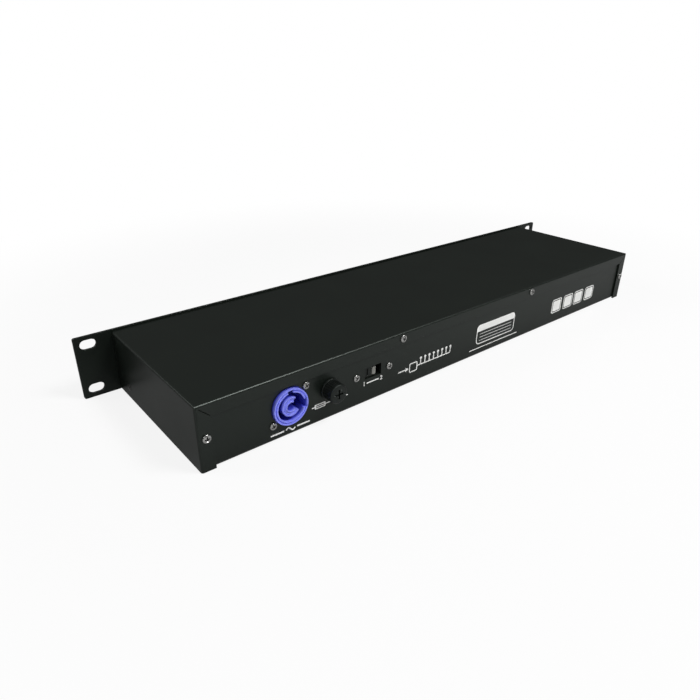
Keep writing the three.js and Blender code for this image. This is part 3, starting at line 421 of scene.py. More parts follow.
def block(x, y, z):
    """A box between three pairs of limits."""
    return prism("Z", z, [(x[0], y[0]), (x[1], y[0]), (x[1], y[1]), (x[0], y[1])])


def rounded(u, v, radii):
    """The outline of a rectangle with a radius at each corner, from the low one anticlockwise."""
    corners = ((u[0], v[0], 1, 1), (u[1], v[0], -1, 1), (u[1], v[1], -1, -1), (u[0], v[1], 1, -1))
    points = []
    for i, ((cu, cv, in_u, in_v), radius) in enumerate(zip(corners, radii)):
        for step in range(BEND_STEPS + 1 if radius else 1):
            angle = math.pi * (1 + (i + step / BEND_STEPS) / 2)
            points.append((cu + radius * (in_u + math.cos(angle)), cv + radius * (in_v + math.sin(angle))))
    return points


def circle(radius, centre=(0.0, 0.0), steps=FINE):
    """The outline of a circle."""
    angles = [2 * math.pi * i / steps for i in range(steps)]
    return [(centre[0] + radius * math.cos(a), centre[1] + radius * math.sin(a)) for a in angles]


def beam(centre, width, height, span, radius=0.0):
    """A straight piece along Y, of a width and height round its centre line, with a radius at its corners."""
    x, z = ((mid - size / 2, mid + size / 2) for mid, size in zip(centre, (width, height)))
    return prism("Y", span, rounded(x, z, [radius] * 4)) if radius else block(x, span, z)


def turned(profile, centre=(0.0, 0.0), steps=ROUND):
    """A piece turned about a line along Y, from (radius, y) points with both ends on it, or from a closed ring."""
    form = bmesh.new()
    rings = []
    for radius, y in profile:
        spots = circle(radius, centre, steps if radius else 1)
        rings.append([form.verts.new((x, y, z)) for x, z in spots] * (1 if radius else steps))
    if profile[0][0] > 0:
        rings.append(rings[0])
    for low, high in zip(rings, rings[1:]):
        for i in range(steps):
            form.faces.new(list(dict.fromkeys((low[i - 1], low[i], high[i], high[i - 1]))))
    return mesh_of(form)


def bar(radius, span, centre=(0.0, 0.0), steps=FINE):
    """A round bar along Y."""
    return turned([(0, span[0]), (radius, span[0]), (radius, span[1]), (0, span[1])], centre, steps)


def arc(radius, y, degrees):
    """Points of a ball's profile round a place on Y, at these angles from the tip that faces -Y."""
    return [(radius * math.sin(a), y - radius * math.cos(a)) for a in map(math.radians, degrees)]


print("helpers for solids ready")

# %% Cutting, joining and moving solids


def evaluated(carrier, *tools):
    """The plain mesh that an object becomes by its modifiers. The object and its tools are then removed."""
    shape = bpy.data.meshes.new_from_object(carrier.evaluated_get(bpy.context.evaluated_depsgraph_get()))
    for used in (carrier, *tools):
        bpy.data.objects.remove(used)
    return shape


def combined(operation, first, others):
    """The first shape with the others added to it or taken from it."""
    host = new_object("work", first)
    tools = [new_object("tool", shape) for shape in others]
    for tool in tools:
        modifier = host.modifiers.new("step", "BOOLEAN")
        modifier.object, modifier.operation, modifier.solver = tool, operation, "EXACT"
    return evaluated(host, *tools)


def fused(first, *others):
    """One solid from several that overlap."""
    return combined("UNION", first, others)


def carved(first, *cutters):
    """A solid with the cutters' shapes taken out of it."""
    return combined("DIFFERENCE", first, cutters)


def gathered(*shapes):
    """Several separate solids in one mesh."""
    form = bmesh.new()
    for shape in shapes:
        form.from_mesh(shape)
    shape = bpy.data.meshes.new("shape")
    form.to_mesh(shape)
    form.free()
    return shape


def moved(shape, x=0.0, y=0.0, z=0.0, turn=Matrix()):
    """A copy of a shape, turned and then moved."""
    copy = shape.copy()
    copy.transform(Matrix.Translation((x, y, z)) @ turn.to_4x4())
    return copy


# %% [markdown]
# ## From shape to piece
#
# `show` turns a finished shape into a piece of the object: it scales it to metres, gives it its finish, rounds
# its edges a little, and says which CAD body it rides on and which CAD nodes it stands for. No real edge is
# sharp, and the thin line of light along a rounded edge is most of what shows a black box on white. The
# Weighted Normal modifier keeps flat faces flat right up to that rounding.

# %% Showing a piece
ROUNDED_FROM, SMOOTH_UP_TO = math.radians(46), math.radians(38)  # angles between two faces


def show(name, shape, finish, body="root", stands_for=(), edge=0.0, edge_steps=2):
    """Makes a shape in millimetres a piece of the object. A finish that the CAD model knows is its slot too."""
    shape.transform(Matrix.Scale(MM, 4))
    shape.name = name
    shape.materials.clear()
    shape.materials.append(FINISH[finish])
    shape.shade_smooth()
    piece = new_object(name, shape)
    if edge:
        bevel = piece.modifiers.new("edges", "BEVEL")
        bevel.width, bevel.segments = edge * MM, edge_steps
        bevel.limit_method, bevel.angle_limit = "ANGLE", ROUNDED_FROM
    else:
        shape.set_sharp_from_angle(angle=SMOOTH_UP_TO)
    piece.modifiers.new("normals", "WEIGHTED_NORMAL").keep_sharp = True
    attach(piece, body)
    if stands_for:
        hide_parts(*stands_for)
    print(f"{name}: {len(shape.polygons)} faces on {body}")


def limits(node):
    """A CAD node's box in millimetres, as three pairs of limits along x, y and z."""
    return [(low / MM, high / MM) for low, high in zip(*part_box(node))]


def middle(node):
    """The middle of a CAD node's box, in millimetres."""
    return [sum(pair) / 2 for pair in limits(node)]


# %% [markdown]
# ## Folded sheets
#
# The cover is one sheet folded over the top and both sides, with a flange all round the rear opening. Its bends
# catch the light in a line, so they are true arcs here. It is made as a press would see it: the hull is what the
# three bent outlines have in common, and the hollow, the rear window, the mitre slits and the screw holes are
# taken out of it.

# %% Sizes of the case
SHEET = 1.2
GAP = 0.1
CASE_X, COVER_Y, COVER_Z = limits("top_cover")
TRAY_X, TRAY_Y, TRAY_Z = limits("chassis_tray")
PANEL_X, _, PANEL_Z = limits("front_panel")
LINE = (PANEL_Z[0] + PANEL_Z[1]) / 2  # height of the connectors' centres
REAR = COVER_Y[1]
WALL = REAR - SHEET - GAP  # outer face of the tray's rear wall
TOP = COVER_Z[1]
COVER_BEND = 1.5
FLANGE_WIDTH, FLANGE_HEIGHT = 9.0, 8.4
MITRE_WIDTH, MITRE_START, MITRE_END = 0.4, -0.3, 0.72  # the slit's ends are shares of the way to the corner
SHANK = 1.55  # radius of the holes for the screws
print("case", CASE_X, COVER_Y, COVER_Z)

# %% Cover
COVER_SCREWS = [name for name in nodes if name.startswith("cover_screw")]
SMALL_SCREWS = [name for name in nodes if name.startswith(("inlet_screw", "selector_screw"))]


def mitre(side):
    """The slit between the top flange and a corner flange, which stops short of the outer corner."""
    inner = Vector((CASE_X[1] - FLANGE_WIDTH, TOP - FLANGE_HEIGHT))
    along = Vector((FLANGE_WIDTH, FLANGE_HEIGHT))
    across = Vector((-along.y, along.x)).normalized() * MITRE_WIDTH / 2
    start, end = inner + along * MITRE_START, inner + along * MITRE_END
    corners = (start + across, start - across, end - across, end + across)
    return prism("Y", (REAR - SHEET, REAR + OVERRUN), [(side * point.x, point.y) for point in corners])


def shank_holes(names, span):
    """Bars that cut the holes of these screws through a wall."""
    return [bar(SHANK, span, middle(name)[::2]) for name in names]


def cover():
    """The folded cover."""
    hull = prism("Y", COVER_Y, rounded(CASE_X, COVER_Z, (0, 0, COVER_BEND, COVER_BEND)))
    side_view = prism("X", CASE_X, rounded(COVER_Y, COVER_Z, (0, 0, COVER_BEND, 0)))
    plan = prism("Z", COVER_Z, rounded(CASE_X, COVER_Y, (0, 0, COVER_BEND, COVER_BEND)))
    hull = combined("INTERSECT", hull, [side_view, plan])
    through = (REAR - 2 * SHEET, REAR + OVERRUN)
    hollow, window = (
        block((CASE_X[0] + inset, CASE_X[1] - inset), depth, (-OVERRUN, TOP - drop))
        for inset, depth, drop in (
            (SHEET, (COVER_Y[0] - OVERRUN, REAR - SHEET), SHEET), (FLANGE_WIDTH, through, FLANGE_HEIGHT),
        )
    )
    return carved(hull, hollow, window, mitre(1), mitre(-1), gathered(*shank_holes(COVER_SCREWS, through)))


show("cover_sheet", cover(), "powder_coat", stands_for=["top_cover"], edge=0.18)

# %% [markdown]
# ## The tray, folded by Geometry Nodes
#
# The tray is one strip of sheet with two bends: a low lip in front, the floor, and the rear wall. A folded sheet
# follows a rule, so a node tree folds it: the host is a line through the middle of the sheet, Fillet Curve makes
# its corners bends, and Extrude Mesh draws the line out to the sheet's width. `new_tree`, `ended` and `grown` are
# used by every tree after it. A tree's inputs are found by their sockets' identifiers, because names may repeat.

# %% Helpers for shape trees


def new_tree(name, **inputs):
    """An empty shape tree with a host, named inputs and a finish: the tree, and the outputs of its input node."""
    tree = bpy.data.node_groups.new(name, "GeometryNodeTree")
    tree.interface.new_socket("Shape", in_out="OUTPUT", socket_type="NodeSocketGeometry")
    for label, kind in {"Host": "Geometry", **inputs, "Finish": "Material"}.items():
        tree.interface.new_socket(label, in_out="INPUT", socket_type="NodeSocket" + kind)
    return tree, add(tree, "NodeGroupInput").outputs


def ended(tree, shape, given):
    """The end of every tree: real geometry with its finish."""
    real = add(tree, "GeometryNodeRealizeInstances", {0: shape}).outputs[0]
    painted = add(tree, "GeometryNodeSetMaterial", {"Geometry": real, "Material": given["Finish"]}).outputs[0]
    add(tree, "NodeGroupOutput", {0: painted})
    print("tree:", tree.name, len(tree.nodes), "nodes")


def grown(tree, finish, host=None, **values):
    """The plain mesh that a tree makes of a host mesh and these inputs."""
    carrier = new_object("carrier", host or bpy.data.meshes.new("none"))
    modifier = carrier.modifiers.new("tree", "NODES")
    modifier.node_group = tree
    values["Finish"] = FINISH[finish]
    for socket in tree.interface.items_tree:
        if socket.in_out == "INPUT" and socket.name in values:
            modifier[socket.identifier] = values[socket.name]
    return evaluated(carrier)


# %% Folded sheet tree
FOLD, given = new_tree("folded_sheet", Radius="Float", Width="Float")
line = add(FOLD, "GeometryNodeMeshToCurve", {"Mesh": given["Host"]}).outputs[0]
bends = add(FOLD, "GeometryNodeFilletCurve", {
    "Curve": line, "Count": BEND_STEPS, "Radius": given["Radius"], "Limit Radius": True,
}, mode="POLY").outputs[0]
edge = add(FOLD, "GeometryNodeCurveToMesh", {"Curve": bends}).outputs[0]
width = add(FOLD, "ShaderNodeCombineXYZ", {"X": given["Width"]}).outputs[0]
drawn_out = add(FOLD, "GeometryNodeExtrudeMesh", {
    "Mesh": edge, "Offset": width, "Offset Scale": 1.0,
}, mode="EDGES").outputs[0]
ended(FOLD, drawn_out, given)


def thickened(shape, thickness):
    """A sheet's middle surface as a solid sheet."""
    carrier = new_object("carrier", shape)
    solidify = carrier.modifiers.new("sheet", "SOLIDIFY")
    solidify.thickness, solidify.offset = thickness, 0
    return evaluated(carrier)


# %% [markdown]
# The strip is then punched: the inlet's round hole, the fuse holder's, the selector's window, and the screw
# holes. The side lips and the stand-offs under the circuit board are joined on as the press leaves them.

# %% Tray
TRAY_BEND = 2.5
LIP = 8.0
INLET_AT, FUSE_AT = middle("mains_inlet")[::2], middle("fuse_cap")[::2]
REAR_LINE = FUSE_AT[1]  # height of the fuse holder and the selector
SELECTOR_X = middle("selector_body")[0]
NOSE_HOLE, HOLDER_HOLE = 12.5, 6.15
WINDOW_AT, WINDOW_WIDTH, WINDOW_HEIGHT = (SELECTOR_X, REAR_LINE + 0.5), 14.0, 8.0
STANDOFF, STANDOFF_TOP = 3.0, 5.9
BOARD_X = limits("main_board")[0]
STANDOFF_X = (BOARD_X[0] + 9, sum(BOARD_X) / 2 - 35, BOARD_X[1] - 106)
STANDOFF_Y = (TRAY_Y[0] + 26, TRAY_Y[0] + 73)
STUD, STUD_SLACK, STUD_Z = 1.4, 0.15, 4.6
OUTER_STUD = TRAY_X[1] - 12
STUD_PLACES = [(x, STUD_Z) for x in (-OUTER_STUD, -OUTER_STUD / 3, OUTER_STUD / 3, OUTER_STUD)]


def tray():
    """The folded and punched tray, and the stand-offs on its floor."""
    half = SHEET / 2
    path = [(TRAY_Y[0] + half, LIP), (TRAY_Y[0] + half, half), (WALL - half, half), (WALL - half, TRAY_Z[1])]
    host = bpy.data.meshes.new("fold_line")
    host.from_pydata([(TRAY_X[0], y, z) for y, z in path], [(0, 1), (1, 2), (2, 3)], [])
    strip = grown(FOLD, "powder_coat", host, Radius=TRAY_BEND - half, Width=TRAY_X[1] - TRAY_X[0])
    lips = [
        block(x, (TRAY_Y[0] + TRAY_BEND, WALL - TRAY_BEND), (0.0, LIP))
        for x in ((TRAY_X[0], TRAY_X[0] + SHEET), (TRAY_X[1] - SHEET, TRAY_X[1]))
    ]
    posts = [prism("Z", (half, STANDOFF_TOP), circle(STANDOFF, (x, y))) for x in STANDOFF_X for y in STANDOFF_Y]
    wall, front_lip = (WALL - 2 * SHEET, WALL + OVERRUN), (TRAY_Y[0] - OVERRUN, TRAY_Y[0] + 2 * SHEET)
    cuts = [
        bar(NOSE_HOLE, wall, INLET_AT, ROUND),
        bar(HOLDER_HOLE, wall, FUSE_AT, ROUND),
        beam(WINDOW_AT, WINDOW_WIDTH, WINDOW_HEIGHT, wall),
        *shank_holes(COVER_SCREWS + SMALL_SCREWS, wall),
        *[bar(STUD + STUD_SLACK, front_lip, place) for place in STUD_PLACES],
    ]
    return carved(fused(thickened(strip, SHEET), gathered(*lips)), gathered(*cuts)), gathered(*posts)


tray_sheet, standoffs = tray()
show("tray_sheet", tray_sheet, "powder_coat", stands_for=["chassis_tray"], edge=0.15)
show("board_standoffs", standoffs, "powder_coat", edge=0.2)

# %% [markdown]
# ## Front panel
#
# The panel is 2 mm steel plate, cut to one rack unit, with two slots in each ear so that it fits any rail. It is
# one outline with holes. The back is masked between the ears when it is sprayed, so bare steel meets the case.

# %% Front panel
PANEL_FRONT, PANEL_BACK, PANEL_CORNER = -62.0, -60.0, 1.2
SLOT_INSET, SLOT_RISE, SLOT_LENGTH, SLOT_HEIGHT = 8.75, 15.875, 10.5, 6.8
SLOT_X = PANEL_X[1] - SLOT_INSET
OUTPUTS = range(1, 9)
OUTPUT_X = [middle(f"output_{i}_latch")[0] for i in OUTPUTS]
INPUT_X = [middle(f"input_{letter}_shell")[0] for letter in "ab"]
TOGGLE_X = [middle(f"toggle_{i}_body")[0] for i in OUTPUTS]
SWITCH_AT, LAMP_AT = ((middle(node)[0], LINE) for node in ("power_switch_body", "power_lamp"))
BARREL_HOLE, BUSHING_HOLE, LAMP_HOLE = 12.0, 3.3, 1.65
SWITCH_HOLE = (13.0, 19.2)
COAT, MASK_MARGIN = 0.1, 0.5


def front_plate():
    """The rack panel with its slots, holes and studs."""
    plate = prism("Y", (PANEL_FRONT, PANEL_BACK), rounded(PANEL_X, PANEL_Z, [PANEL_CORNER] * 4))
    through = (PANEL_FRONT - OVERRUN, PANEL_BACK + OVERRUN)
    cuts = [
        beam((side * SLOT_X, LINE + rise * SLOT_RISE), SLOT_LENGTH, SLOT_HEIGHT, through, SLOT_HEIGHT / 2 - 0.01)
        for side in (-1, 1) for rise in (-1, 1)
    ]
    cuts += [bar(BARREL_HOLE, through, (x, LINE), ROUND) for x in INPUT_X + OUTPUT_X]
    cuts += [bar(BUSHING_HOLE, through, (x, LINE)) for x in TOGGLE_X]
    cuts += [bar(LAMP_HOLE, through, LAMP_AT), beam(SWITCH_AT, *SWITCH_HOLE, through)]
    bare = block(
        (CASE_X[0] - MASK_MARGIN, CASE_X[1] + MASK_MARGIN), (PANEL_BACK - COAT, PANEL_BACK + OVERRUN),
        (-OVERRUN, PANEL_Z[1] + OVERRUN),
    )
    studs = [bar(STUD, (PANEL_BACK - 1, PANEL_BACK + 4), place) for place in STUD_PLACES]
    return fused(carved(plate, bare, gathered(*cuts)), gathered(*studs))


show("panel_plate", front_plate(), "powder_coat", stands_for=["front_panel"], edge=0.3, edge_steps=3)

# %% [markdown]
# ## Screws, set out by Geometry Nodes
#
# Twenty-eight cross-recess screws hold the case and the connectors, and two more are flush in the side walls. One
# screw of each size is turned, with its cross cut by two tapered arms. A tree then sets it on every point of a host,
# faces it outwards, and turns each one to its own angle, from a random value with a fixed seed, because no
# screwdriver stops twice at the same place. The shade at the bottom of each rear screw's recess is painted, as a
# thin black cross.

# %% Screw tree
SCREWS, given = new_tree("screws_set_out", Screw="Object", Facing="Vector", Seed="Int")
screw_shape = add(SCREWS, "GeometryNodeObjectInfo", {"Object": given["Screw"]}).outputs["Geometry"]
angle = add(SCREWS, "FunctionNodeRandomValue", {
    "Min": 0.0, "Max": math.pi / 2, "Seed": given["Seed"],
}, data_type="FLOAT")
angle = next(output for output in angle.outputs if output.enabled)
spin = add(SCREWS, "FunctionNodeAxisAngleToRotation", {"Axis": (0, 0, 1), "Angle": angle}).outputs[0]
facing = add(SCREWS, "FunctionNodeAlignRotationToVector", {"Vector": given["Facing"]}, axis="Z").outputs[0]
turn = add(SCREWS, "FunctionNodeRotateRotation", {0: facing, 1: spin}, rotation_space="LOCAL").outputs[0]
copies = add(SCREWS, "GeometryNodeInstanceOnPoints", {
    "Points": given["Host"], "Instance": screw_shape, "Rotation": turn,
}).outputs[0]
ended(SCREWS, copies, given)

# %% One screw
CROSS_WIDTH, CROSS_REACH, CROSS_BOTTOM = 0.34, 0.68, 0.45  # of the head's radius, and of the reach
DOME_START, DOME_RISE = 0.45, 0.55  # shares of the head's height


def cross(radius, height, top):
    """The two tapered arms of a cross recess, up to a share of the head's height."""
    half, bottom = radius * CROSS_WIDTH / 2, radius * CROSS_REACH * CROSS_BOTTOM
    reach = bottom + (radius * CROSS_REACH - bottom) * top
    arm = prism("Y", (-half, half), [(-bottom, 0), (bottom, 0), (reach, top * height), (-reach, top * height)])
    return [arm, moved(arm, turn=Matrix.Rotation(math.radians(90), 4, "Z"))]


def screw(radius, height, length):
    """A screw that points up, with the underside of its head at the origin."""
    dome = [
        (radius * math.sin(a), height * (DOME_START + DOME_RISE * math.cos(a)))
        for a in map(math.radians, range(0, 91, 10))
    ]
    shank = SHANK - 0.15
    shape = turned([*dome, (radius, 0), (shank, 0), (shank, -length), (0, -length)], steps=FINE)
    return carved(moved(shape, turn=Matrix.Rotation(math.radians(90), 4, "X")), *cross(radius, height, 1.1))


def set_out(shape, places, facing, finish, seed):
    """Copies of a screw's shape at these places."""
    pattern = new_object("pattern", shape)
    host = bpy.data.meshes.new("screw_places")
    host.from_pydata(places, [], [])
    made = grown(SCREWS, finish, host, Screw=pattern, Facing=facing, Seed=seed)
    bpy.data.objects.remove(pattern)
    return made


# %% Screws
HEAD_RISE = 0.48  # of the head's radius
FLANGE_FRONT = -64.1  # front face of the connectors
FLANGE_SCREW_X, FLANGE_SCREW_Z = 9.5, 12.0
FLANGE_SCREW_PLACES = [
    (x + side * FLANGE_SCREW_X, FLANGE_FRONT, LINE - side * FLANGE_SCREW_Z)
    for x in INPUT_X + OUTPUT_X for side in (-1, 1)
]
SIDE_SCREW = (-42.4, 8.6)  # y and z of the low screw in each side wall


def rear_screws(names, seed):
    """The rear screws of one size, from their CAD nodes, and the painted shade in their recesses."""
    (x0, x1), (y0, y1), _ = limits(names[0])
    radius = (x1 - x0) / 2
    height = HEAD_RISE * radius
    places = [(x, y1 - height, z) for x, _, z in map(middle, names)]
    heads = set_out(screw(radius, height, y1 - height - y0), places, (0, 1, 0), "zinc_plate", seed)
    # painted shade: a thin black cross down in each recess
    return heads, set_out(fused(*cross(radius, height, 0.7)), places, (0, 1, 0), "recess_shade", seed)


heads, recess_shade = zip(rear_screws(COVER_SCREWS, 5), rear_screws(SMALL_SCREWS, 8))
show("rear_screws", gathered(*heads), "zinc_plate", stands_for=COVER_SCREWS + SMALL_SCREWS)
# painted shade in the bottoms of the rear screws' recesses
show("recess_grime", gathered(*recess_shade), "recess_shade")
for name, side in (("side_screw_right", 1), ("side_screw_left", -1)):
    place = (side * CASE_X[1], *SIDE_SCREW)
    show(name, set_out(screw(2.6, 0.35, 3.0), [place], (side, 0, 0), "worn_zinc", 2), "worn_zinc")
small_heads = set_out(screw(2.5, 1.3, 6.0), FLANGE_SCREW_PLACES, (0, -1, 0), "black_zinc", 11)
show("flange_screws", small_heads, "black_zinc")

# %% [markdown]
# ## Mains inlet
#
# The inlet is the one bright thing on the rear: a round locking socket of blue nylon. The plug goes into the ring
# groove round a C-shaped core, past two notches for its keys, and twists to lock, with the keys in a track behind
# the rim. It is turned in one profile, with a shallow valley in the face between two rims, and then the notches, the
# track and the core's gap are cut. Its light comes from the rounding of the rims, so they are modelled and not
# painted. The shade in the groove is painted into the finish: a few millimetres in, the blue is tinted darker,
# towards navy, by depth.

# %% Inlet
INLET_SPAN = limits("mains_inlet")[1]
MOUTH, INLET_BACK = INLET_SPAN[1], INLET_SPAN[0] + 8  # the blades fill the last 8 mm
NOSE, INLET_BODY, GROOVE_OUT, GROOVE_IN, BORE = 11.9, 11.5, 9.3, 6.3, 2.8
RIM, SLOPE, VALLEY, CORE_SET_BACK = 0.9, 0.15, 0.7, 0.3
GROOVE_FLOOR = MOUTH - 13
FLANGE_SPAN = (54.4, 57.4)
INLET_FLANGE = (31, 26)
BLADE_STEP, BLADE = 6, (0.8, 6.3)
CORE_GAP, CORE_GAP_DEPTH = (-35, 60), 12.0  # degrees, seen from behind, from the right and upwards
NOTCHES = ((91, 3.6), (-4, 5.8))  # angle and width
NOTCH_REACH, NOTCH_DEPTH = 11.1, 12.0
TRACK_DEPTHS = (1.3, 12.0)  # from the mouth
# from the mouth: where the painted shade in the groove starts, and where it is full
GROOVE_SHADE_DEPTHS = (0.75, 2.1)


def seen(angle, radius):
    """A place round the inlet's centre, at an angle as someone behind the case sees it."""
    angle = math.radians(angle)
    return (INLET_AT[0] - radius * math.cos(angle), INLET_AT[1] + radius * math.sin(angle))


def key_notch(angle, width):
    """A straight notch outwards from the groove."""
    centre = Vector(INLET_AT)
    out = Vector(seen(angle, 1)) - centre
    across = Vector((-out.y, out.x)) * width / 2
    start, end = centre + out * (GROOVE_IN + 1), centre + out * NOTCH_REACH
    corners = (start + across, end + across, end - across, start - across)
    return prism("Y", (MOUTH - NOTCH_DEPTH, MOUTH + OVERRUN), corners)


def track():
    """The undercut behind the ring's rim, from notch to notch, in which the plug's keys turn."""
    near, far = (MOUTH - depth for depth in TRACK_DEPTHS)
    inner = GROOVE_OUT - 1
    ring = turned([(inner, far), (NOTCH_REACH, far), (NOTCH_REACH, near), (inner, near)], INLET_AT)
    (start, _), (end, _) = NOTCHES
    sweep = [INLET_AT] + [seen(start + (end - start) * i / 4, 16) for i in range(5)]
    return combined("INTERSECT", prism("Y", (far - OVERRUN, near + OVERRUN), sweep), [ring])


def deepened(material, shallow, deep, tint):
    """Paints shade into a finish: no tint in front of the first place along Y, and the full tint behind the second.
    """
    tree = material.node_tree
    colour = next(node for node in tree.nodes if node.type == "BSDF_PRINCIPLED").inputs["Base Color"]
    place = add(tree, "ShaderNodeTexCoord").outputs["Object"]
    along = add(tree, "ShaderNodeSeparateXYZ", {0: place}).outputs["Y"]
    share = add(tree, "ShaderNodeMapRange", {
        "Value": along, "From Min": shallow * MM, "From Max": deep * MM,
    }).outputs[0]
    shade = add(tree, "ShaderNodeMix", {
        0: share, 6: colour.links[0].from_socket, 7: linear(tint),
    }, data_type="RGBA", blend_type="MULTIPLY")
    tree.links.new(shade.outputs[2], colour)


def inlet():
    """The inlet's body, from its rear end to its mouth."""
    core_face, valley = MOUTH - CORE_SET_BACK, MOUTH - VALLEY
    body = turned([
        (0, INLET_BACK), (INLET_BODY, INLET_BACK), (INLET_BODY, FLANGE_SPAN[0]), (NOSE, FLANGE_SPAN[0]),
        (NOSE, MOUTH), (NOSE - RIM, MOUTH), (NOSE - RIM - SLOPE, valley), (GROOVE_OUT + RIM + SLOPE, valley),
        (GROOVE_OUT + RIM, MOUTH), (GROOVE_OUT, MOUTH), (GROOVE_OUT, GROOVE_FLOOR), (GROOVE_IN, GROOVE_FLOOR),
        (GROOVE_IN, core_face), (GROOVE_IN - RIM, core_face), (GROOVE_IN - RIM - SLOPE, valley),
        (BORE + RIM + SLOPE, valley), (BORE + RIM, core_face), (BORE, core_face),
        (BORE, GROOVE_FLOOR), (0, GROOVE_FLOOR),
    ], INLET_AT, 96)
    halfway = sum(CORE_GAP) / 2
    sector = [seen(halfway, 0.0), seen(CORE_GAP[0], 11), seen(halfway, 13), seen(CORE_GAP[1], 11)]
    wedge = combined("INTERSECT", prism("Y", (MOUTH - CORE_GAP_DEPTH, MOUTH + OVERRUN), sector), [
        bar((GROOVE_IN + GROOVE_OUT) / 2, (GROOVE_FLOOR, MOUTH + 2 * OVERRUN), INLET_AT, ROUND),
    ])
    return carved(body, wedge, track(), *[key_notch(*notch) for notch in NOTCHES])


def inlet_rear():
    """The flange behind the wall, with its screw bosses, and the three blades for the wires."""
    through = (FLANGE_SPAN[0] - 1, FLANGE_SPAN[1] + 1)
    inlet_screws = [name for name in SMALL_SCREWS if "inlet" in name]
    flange = carved(
        beam(INLET_AT, *INLET_FLANGE, FLANGE_SPAN, 3.0), bar(NOSE + 0.05, through, INLET_AT, 96),
        *shank_holes(inlet_screws, through),
    )
    blades = [
        beam((INLET_AT[0] + step * BLADE_STEP, INLET_AT[1]), *BLADE, (INLET_SPAN[0], INLET_BACK + 1))
        for step in (-1, 0, 1)
    ]
    return flange, gathered(*blades)


# painted shade: deep in the groove the blue nylon is tinted darker, towards navy
deepened(FINISH["blue_nylon"], *(MOUTH - depth for depth in GROOVE_SHADE_DEPTHS), "7c80c4")
show("inlet_body", inlet(), "blue_nylon", stands_for=["mains_inlet"], edge=0.22, edge_steps=3)
inlet_flange, inlet_blades = inlet_rear()
show("inlet_flange", inlet_flange, "blue_nylon", edge=0.3)
show("inlet_blades", inlet_blades, "nickel_plate", edge=0.15)

# %% [markdown]
# ## Fuse holder
#
# The holder is black nylon: a flange that stays on the wall, and a cap that turns a quarter turn and comes out with
# the fuse in it. Fingers turn it by the fine ribs round its side, which a tree sets round a circle. The fuse is a
# glass tube with a plated ferrule on each end and a wire between them.

# %% Rib tree
RIBS, given = new_tree("ribs_round_a_cap", Count="Int", Radius="Float", RibRadius="Float", Length="Float")
ring = add(RIBS, "GeometryNodeMeshCircle", {"Vertices": given["Count"], "Radius": given["Radius"]}).outputs[0]
rib = add(RIBS, "GeometryNodeMeshCylinder", {
    "Vertices": 8, "Radius": given["RibRadius"], "Depth": given["Length"],
}).outputs["Mesh"]
ribs = add(RIBS, "GeometryNodeInstanceOnPoints", {"Points": ring, "Instance": rib}).outputs[0]
upright = add(RIBS, "GeometryNodeTransform", {
    "Geometry": ribs, "Rotation": (math.radians(-90), 0, 0),
}).outputs[0]
ended(RIBS, upright, given)

# %% Fuse holder, cap and fuse
HOLDER_SEAT, HOLDER_FACE, HOLDER_BACK = WALL + GAP, WALL + GAP + 1.4, WALL - 32
HOLDER_FLANGE, HOLDER_BARREL, HOLDER_BORE = 7.2, 6, 4.9
STEM_END, CAP_FACE = limits("fuse_cap")[1]
CAP_BACK = HOLDER_FACE + GAP
STEM, CAP = 4.6, 6.35
FUSE_START, FUSE_END = limits("fuse")[1]
TUBE, TUBE_BORE, FERRULE = 2.35, 1.85, 2.6


def holder():
    """The holder's flange and barrel, with the bore that the cap's stem goes into."""
    return turned([
        (0, HOLDER_BACK), (HOLDER_BARREL, HOLDER_BACK), (HOLDER_BARREL, HOLDER_SEAT), (HOLDER_FLANGE, HOLDER_SEAT),
        (HOLDER_FLANGE, HOLDER_FACE), (HOLDER_BORE, HOLDER_FACE), (HOLDER_BORE, HOLDER_BACK + 1),
        (0, HOLDER_BACK + 1),
    ], FUSE_AT)


def cap():
    """The cap: a knob with a cross slot, and a stem with a pocket for the fuse's end."""
    body = turned([
        (0, STEM_END), (STEM, STEM_END), (STEM, CAP_BACK), (CAP, CAP_BACK), (CAP, CAP_FACE - 0.7),
        (5.9, CAP_FACE - 0.25), (5.2, CAP_FACE), (0, CAP_FACE),
    ], FUSE_AT)
    slots = [beam(FUSE_AT, w, h, (CAP_FACE - 1.2, CAP_FACE + OVERRUN)) for w, h in ((6.4, 1.2), (1.2, 6.4))]
    return carved(body, bar(3.0, (STEM_END - OVERRUN, STEM_END + 6), FUSE_AT), *slots)


def fuse_parts():
    """The glass tube, and the ferrules with the wire between them."""
    start, end = FUSE_START + 1, FUSE_END - 1
    tube = turned([(TUBE, start), (TUBE, end), (TUBE_BORE, end), (TUBE_BORE, start)], FUSE_AT)
    ferrules = [
        turned([
            (0, y0), (TUBE, y0), (FERRULE, y0 + 0.25), (FERRULE, y1 - 0.25), (2.4, y1), (0, y1),
        ], FUSE_AT, FINE)
        for y0, y1 in ((FUSE_START, FUSE_START + 5), (FUSE_END - 5, FUSE_END))
    ]
    return tube, gathered(*ferrules, bar(0.15, (start, end), FUSE_AT, 8))


show("holder_body", holder(), "black_nylon", stands_for=["fuse_holder_body"], edge=0.3, edge_steps=3)
show("cap_body", cap(), "black_nylon", body="fuse_cap", stands_for=["fuse_cap"], edge=0.2)
cap_ribs = grown(RIBS, "black_nylon", Count=30, Radius=6.3, RibRadius=0.28, Length=6.2)
show("cap_ribs", moved(cap_ribs, FUSE_AT[0], CAP_BACK + 3.4, FUSE_AT[1]), "black_nylon", body="fuse_cap")
tube, ferrules = fuse_parts()
show("fuse_tube", tube, "glass", body="fuse", stands_for=["fuse"])
show("fuse_ferrules", ferrules, "nickel_plate", body="fuse")

# %% [markdown]
# ## Voltage selector
#
# A slide switch sits behind a window in the wall. Its slider is a black plate with a groove for a screwdriver's
# tip, and a pale ridge at one end, so that a glance shows on which side it stands.

